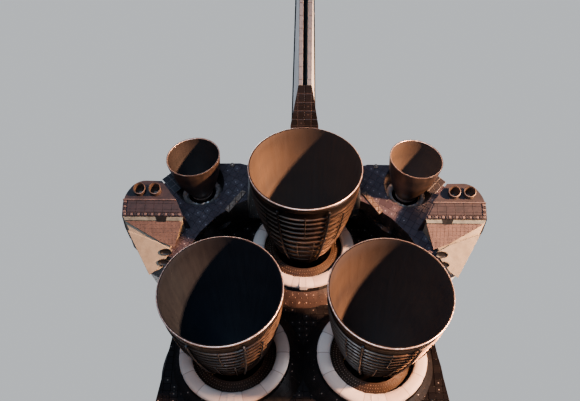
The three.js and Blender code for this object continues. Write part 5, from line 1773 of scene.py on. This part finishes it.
def sorted_corner(x, y, z):
    low = Vector((min(x, x + 3.1) if x < 0 else x, y, z))
    high = Vector((x if x > 0 else x + 3.1, y, z))
    return low, high


bay_details()

# Nose: window bezels, hatch fittings, forward thruster ports and side vents


def window_bezels():
    """A raised frame round each pane."""
    cabin = Vector((0, -500, 430))
    bezels = kept("windshield_glass", lambda m, n: n.dot((m - cabin).normalized()) > 0.35)
    open_mesh(bezels)
    bpy.ops.mesh.inset(thickness=1.5, depth=0.25)
    bpy.ops.mesh.delete(type="FACE")
    close_mesh()
    apply_modifier(bezels, "SOLIDIFY", thickness=0.5, offset=1)
    settle(bezels, AIRFRAME)
    finished(bezels, "window_bezels", "airframe", BEZEL)


def hatch_fittings():
    """The hatch's round window, its ring of bolts, the pull handle and the edge seal."""
    place, normal = surface_spot("crew_hatch", (-200, -512, 372), (1, 0, 0))
    made = [turned([(4.6, 0.1), (5, 0.7), (6.2, 0.7), (6.6, 0), (4.6, 0.1)], 40, 30)]
    bpy.ops.mesh.primitive_cylinder_add(vertices=6, radius=0.28, depth=0.5)
    bolt = active()
    worked(bolt, bpy.ops.mesh.bevel, kind="EDGE", offset=0.05)
    for i in range(16):
        turn = pi * i / 8
        one = copied(bolt)
        one.location = (5.6 * cos(turn), 5.6 * sin(turn), 0.85)
        made.append(one)
    bpy.data.objects.remove(bolt)
    made.append(block((9, -3.4, 0.2), (11.4, 3.4, 1.1), 0.3, 2))
    fittings = joined(made)
    bpy.ops.object.transform_apply()
    settle(fittings, axis_frame(place, normal))
    finished(fittings, "hatch_fittings", "crew_hatch", FRAME_METAL)
    # The hatch pane is opaque and near-black: painted shade of the cabin behind it
    pane = turned([(0, 0.25), (2.5, 0.22), (4.7, 0.1), (4.7, -0.2), (0, -0.2)], 40, 40)
    settle(pane, axis_frame(place, normal))
    finished(pane, "hatch_pane", "crew_hatch", PANE_PAINTED_SHADE)


def forward_ports():
    rows = [((s, -336, 520), (0, 0, -1), 3.1) for s in (-11, 0, 11)]
    rows += [((s, -200, w), (0, -1, 0), 2.9) for s, w in ((-13, 392), (0, 396), (13, 392))]
    for way in (-1, 1):
        holes = ((352, 388), (368, 388), (352, 374), (368, 374))
        rows += [((way * 160, -station, water), (-way, 0, 0), 2.7) for station, water in holes]
    made = []
    for start, towards, radius in rows:
        place, normal = surface_spot("forward_thruster_module", start, towards)
        cup = port_cup(radius)
        settle(cup, TO_INCHES @ axis_frame(place, normal, Vector((0, 1, 0.01))))
        made.append(cup)
    built(made, "forward_thruster_ports", PORT_PAINTED_SHADE)


def side_vents():
    """Louvred vent doors along the sides of the fuselage."""
    vent = block((-7, -3.6, -0.6), (7, 3.6, 0.35), 0.2, 1)
    open_mesh(vent)
    for spot in (-2.2, -0.75, 0.75, 2.2):
        bpy.ops.mesh.select_all(action="SELECT")
        bpy.ops.mesh.bisect(plane_co=(0, spot, 0), plane_no=(0, 1, 0))
    pick(lambda middle, normal: normal.z > 0.9 and abs(middle.x) < 6)
    bpy.ops.mesh.inset(use_individual=True, thickness=0.25, depth=-0.25)
    close_mesh()
    for side, way in SIDES:
        made = []
        for name, station, water in (
            ("mid_fuselage", 640, 385), ("mid_fuselage", 760, 385), ("mid_fuselage", 880, 385),
            ("mid_fuselage", 1000, 385), ("mid_fuselage", 1120, 385), ("aft_fuselage", 1340, 372),
            ("aft_fuselage", 1420, 372), ("forward_fuselage", 452, 352),
        ):
            place, normal = surface_spot(name, (way * 260, -station, water), (-way, 0, 0))
            one = copied(vent)
            settle(one, TO_INCHES @ axis_frame(place, normal))
            made.append(one)
        built(made, side + "_side_vents", FRAME_METAL)
    bpy.data.objects.remove(vent)


window_bezels()
hatch_fittings()
forward_ports()
side_vents()

# Flight deck: seat cushions and the instrument panel


def cushion(low, high):
    """A crowned pad with rounded corners and a sewn channel across it."""
    pad = block(low, high)
    open_mesh(pad)
    bpy.ops.mesh.subdivide(number_cuts=3)
    bpy.ops.mesh.select_all(action="SELECT")
    bpy.ops.mesh.bevel(offset=0.35, segments=2)
    close_mesh()
    apply_modifier(pad, "SUBSURF", levels=1, render_levels=1)
    middle = (Vector(low) + Vector(high)) / 2
    half = (Vector(high) - Vector(low)) / 2
    thin = min(range(3), key=lambda axis: half[axis])
    long = [axis for axis in range(3) if axis != thin]
    for vert in pad.data.vertices:
        share = [(vert.co[axis] - middle[axis]) / half[axis] for axis in long]
        crown = (1 - share[0] ** 2) * (1 - share[1] ** 2)
        channel = math.exp(-((share[1] * 6) ** 2))
        vert.co[thin] = middle[thin] + (vert.co[thin] - middle[thin]) * (0.62 + 0.42 * crown - 0.22 * channel)
    smooth(pad, 60)
    return pad


def flight_deck_details():
    for word, side in (("right", 24), ("left", -24)):
        seat = cushion((side - 9, -510, 437.2), (side + 9, -494, 440))
        rest = cushion((side - 8.5, -516.6, 441), (side + 8.5, -513.8, 463))
        for pad, name in ((seat, "seat_cushion"), (rest, "back_cushion")):
            settle(pad, AIRFRAME)
            finished(pad, word + "_" + name, "airframe", SEAT_CLOTH)
    panel = tiled([(-33, 464.2), (33, 464.2), (33, 477.5), (-33, 477.5)], (6, 4.4), raised=0.3, gap=0.4)
    settle(panel, on_plane(at(482.4, 0, 0), Vector((1, 0, 0)), UP))
    finished(panel, "instrument_panel", "airframe", SCREENS)


flight_deck_details()

# The skins come last, as pieces above are shaped from their CAD nodes

for name, look, slot_name, inner in SKINS:
    skin(name, look, inner=inner)
for side, _ in SIDES:
    for name, look, slot_name, inner in SIDE_SKINS:
        skin(side + "_" + name, look, inner=inner)

# The studio: pale floor, soft light, and the camera low behind the engines


def studio():
    bpy.ops.mesh.primitive_plane_add(size=4000)
    floor = active()
    floor.name = "studio_floor"
    paint = new_material("floor_paint", Roughness=0.9)
    seen = node("ShaderNodeLightPath")[0]
    colour = blend(seen, (0.16, 0.16, 0.17), (0.8, 0.8, 0.79))
    feed(drawing.nodes["Principled BSDF"], {"Base Color": colour})
    floor.data.materials.append(paint)
    world = bpy.data.worlds.new("studio")
    bpy.context.scene.world = world
    world.use_nodes = True
    background = draw_in(world.node_tree).nodes["Background"]
    seen = node("ShaderNodeLightPath")[0]
    feed(background, {"Color": blend(seen, (0.2, 0.24, 0.32), (0.5, 0.52, 0.54))})
    lamps = (
        ("warm_low", (22.0, -33.0, 7.6), (-0.5, -13, 7.4), 2500, (1.0, 0.6, 0.36), 1.6, 44),
        ("cool_front", (-3, -40, 6.0), (0, -15, 6.5), 1050, (0.48, 0.72, 1.0), 9, 90),
        ("cool_right", (15, -19, 1.0), (0.5, -14.5, 4.5), 260, (0.8, 0.9, 1.0), 2.5, 70),
    )
    for name, spot, target, power, colour, size, spread in lamps:
        bpy.ops.object.light_add(type="AREA", location=spot)
        lamp = active()
        lamp.name = name
        lamp.rotation_euler = (Vector(target) - Vector(spot)).to_track_quat("-Z", "Y").to_euler()
        lamp.data.energy, lamp.data.color, lamp.data.size = power, colour, size
        lamp.data.spread = radians(spread)
        lamp.visible_camera = False
    bpy.ops.object.light_add(type="SUN", location=(0, 0, 40), rotation=(radians(-32), radians(-18), 0))
    sun = active()
    sun.name = "soft_high"
    sun.data.energy, sun.data.angle = 1.7, radians(35)
    bpy.context.scene.view_settings.look = "AgX - Medium High Contrast"


# The camera that matches the photograph: its place in airframe inches, angles in degrees, lens in pixels
EYE = (2244.485, -11.357, 136.253)
PITCH, YAW, ROLL = 26.3493, -0.0633, 0.59987
LENS, PHOTO_WIDTH, SENSOR = 905.406, 580, 36


def camera():
    data = bpy.data.cameras.new("camera")
    data.sensor_width = SENSOR
    data.lens = LENS * SENSOR / PHOTO_WIDTH
    data.clip_end = 5000
    eye = bpy.data.objects.new("camera", data)
    bpy.context.scene.collection.objects.link(eye)
    pitch, yaw, roll = radians(PITCH), radians(YAW), radians(ROLL)
    forward = Vector((sin(yaw) * cos(pitch), cos(yaw) * cos(pitch), sin(pitch)))
    right = Vector((cos(yaw), -sin(yaw), 0))
    up = right.cross(forward)
    right, up = (
        cos(roll) * right + sin(roll) * up,
        cos(roll) * up - sin(roll) * right,
    )
    turn = Matrix((right, up, -forward)).transposed().to_4x4()
    spot = AIRFRAME @ at(*EYE)
    eye.matrix_world = Matrix.Translation(spot) @ Matrix.Rotation(-NOSE_DOWN, 4, "X") @ turn
    bpy.context.scene.camera = eye


studio()
camera()
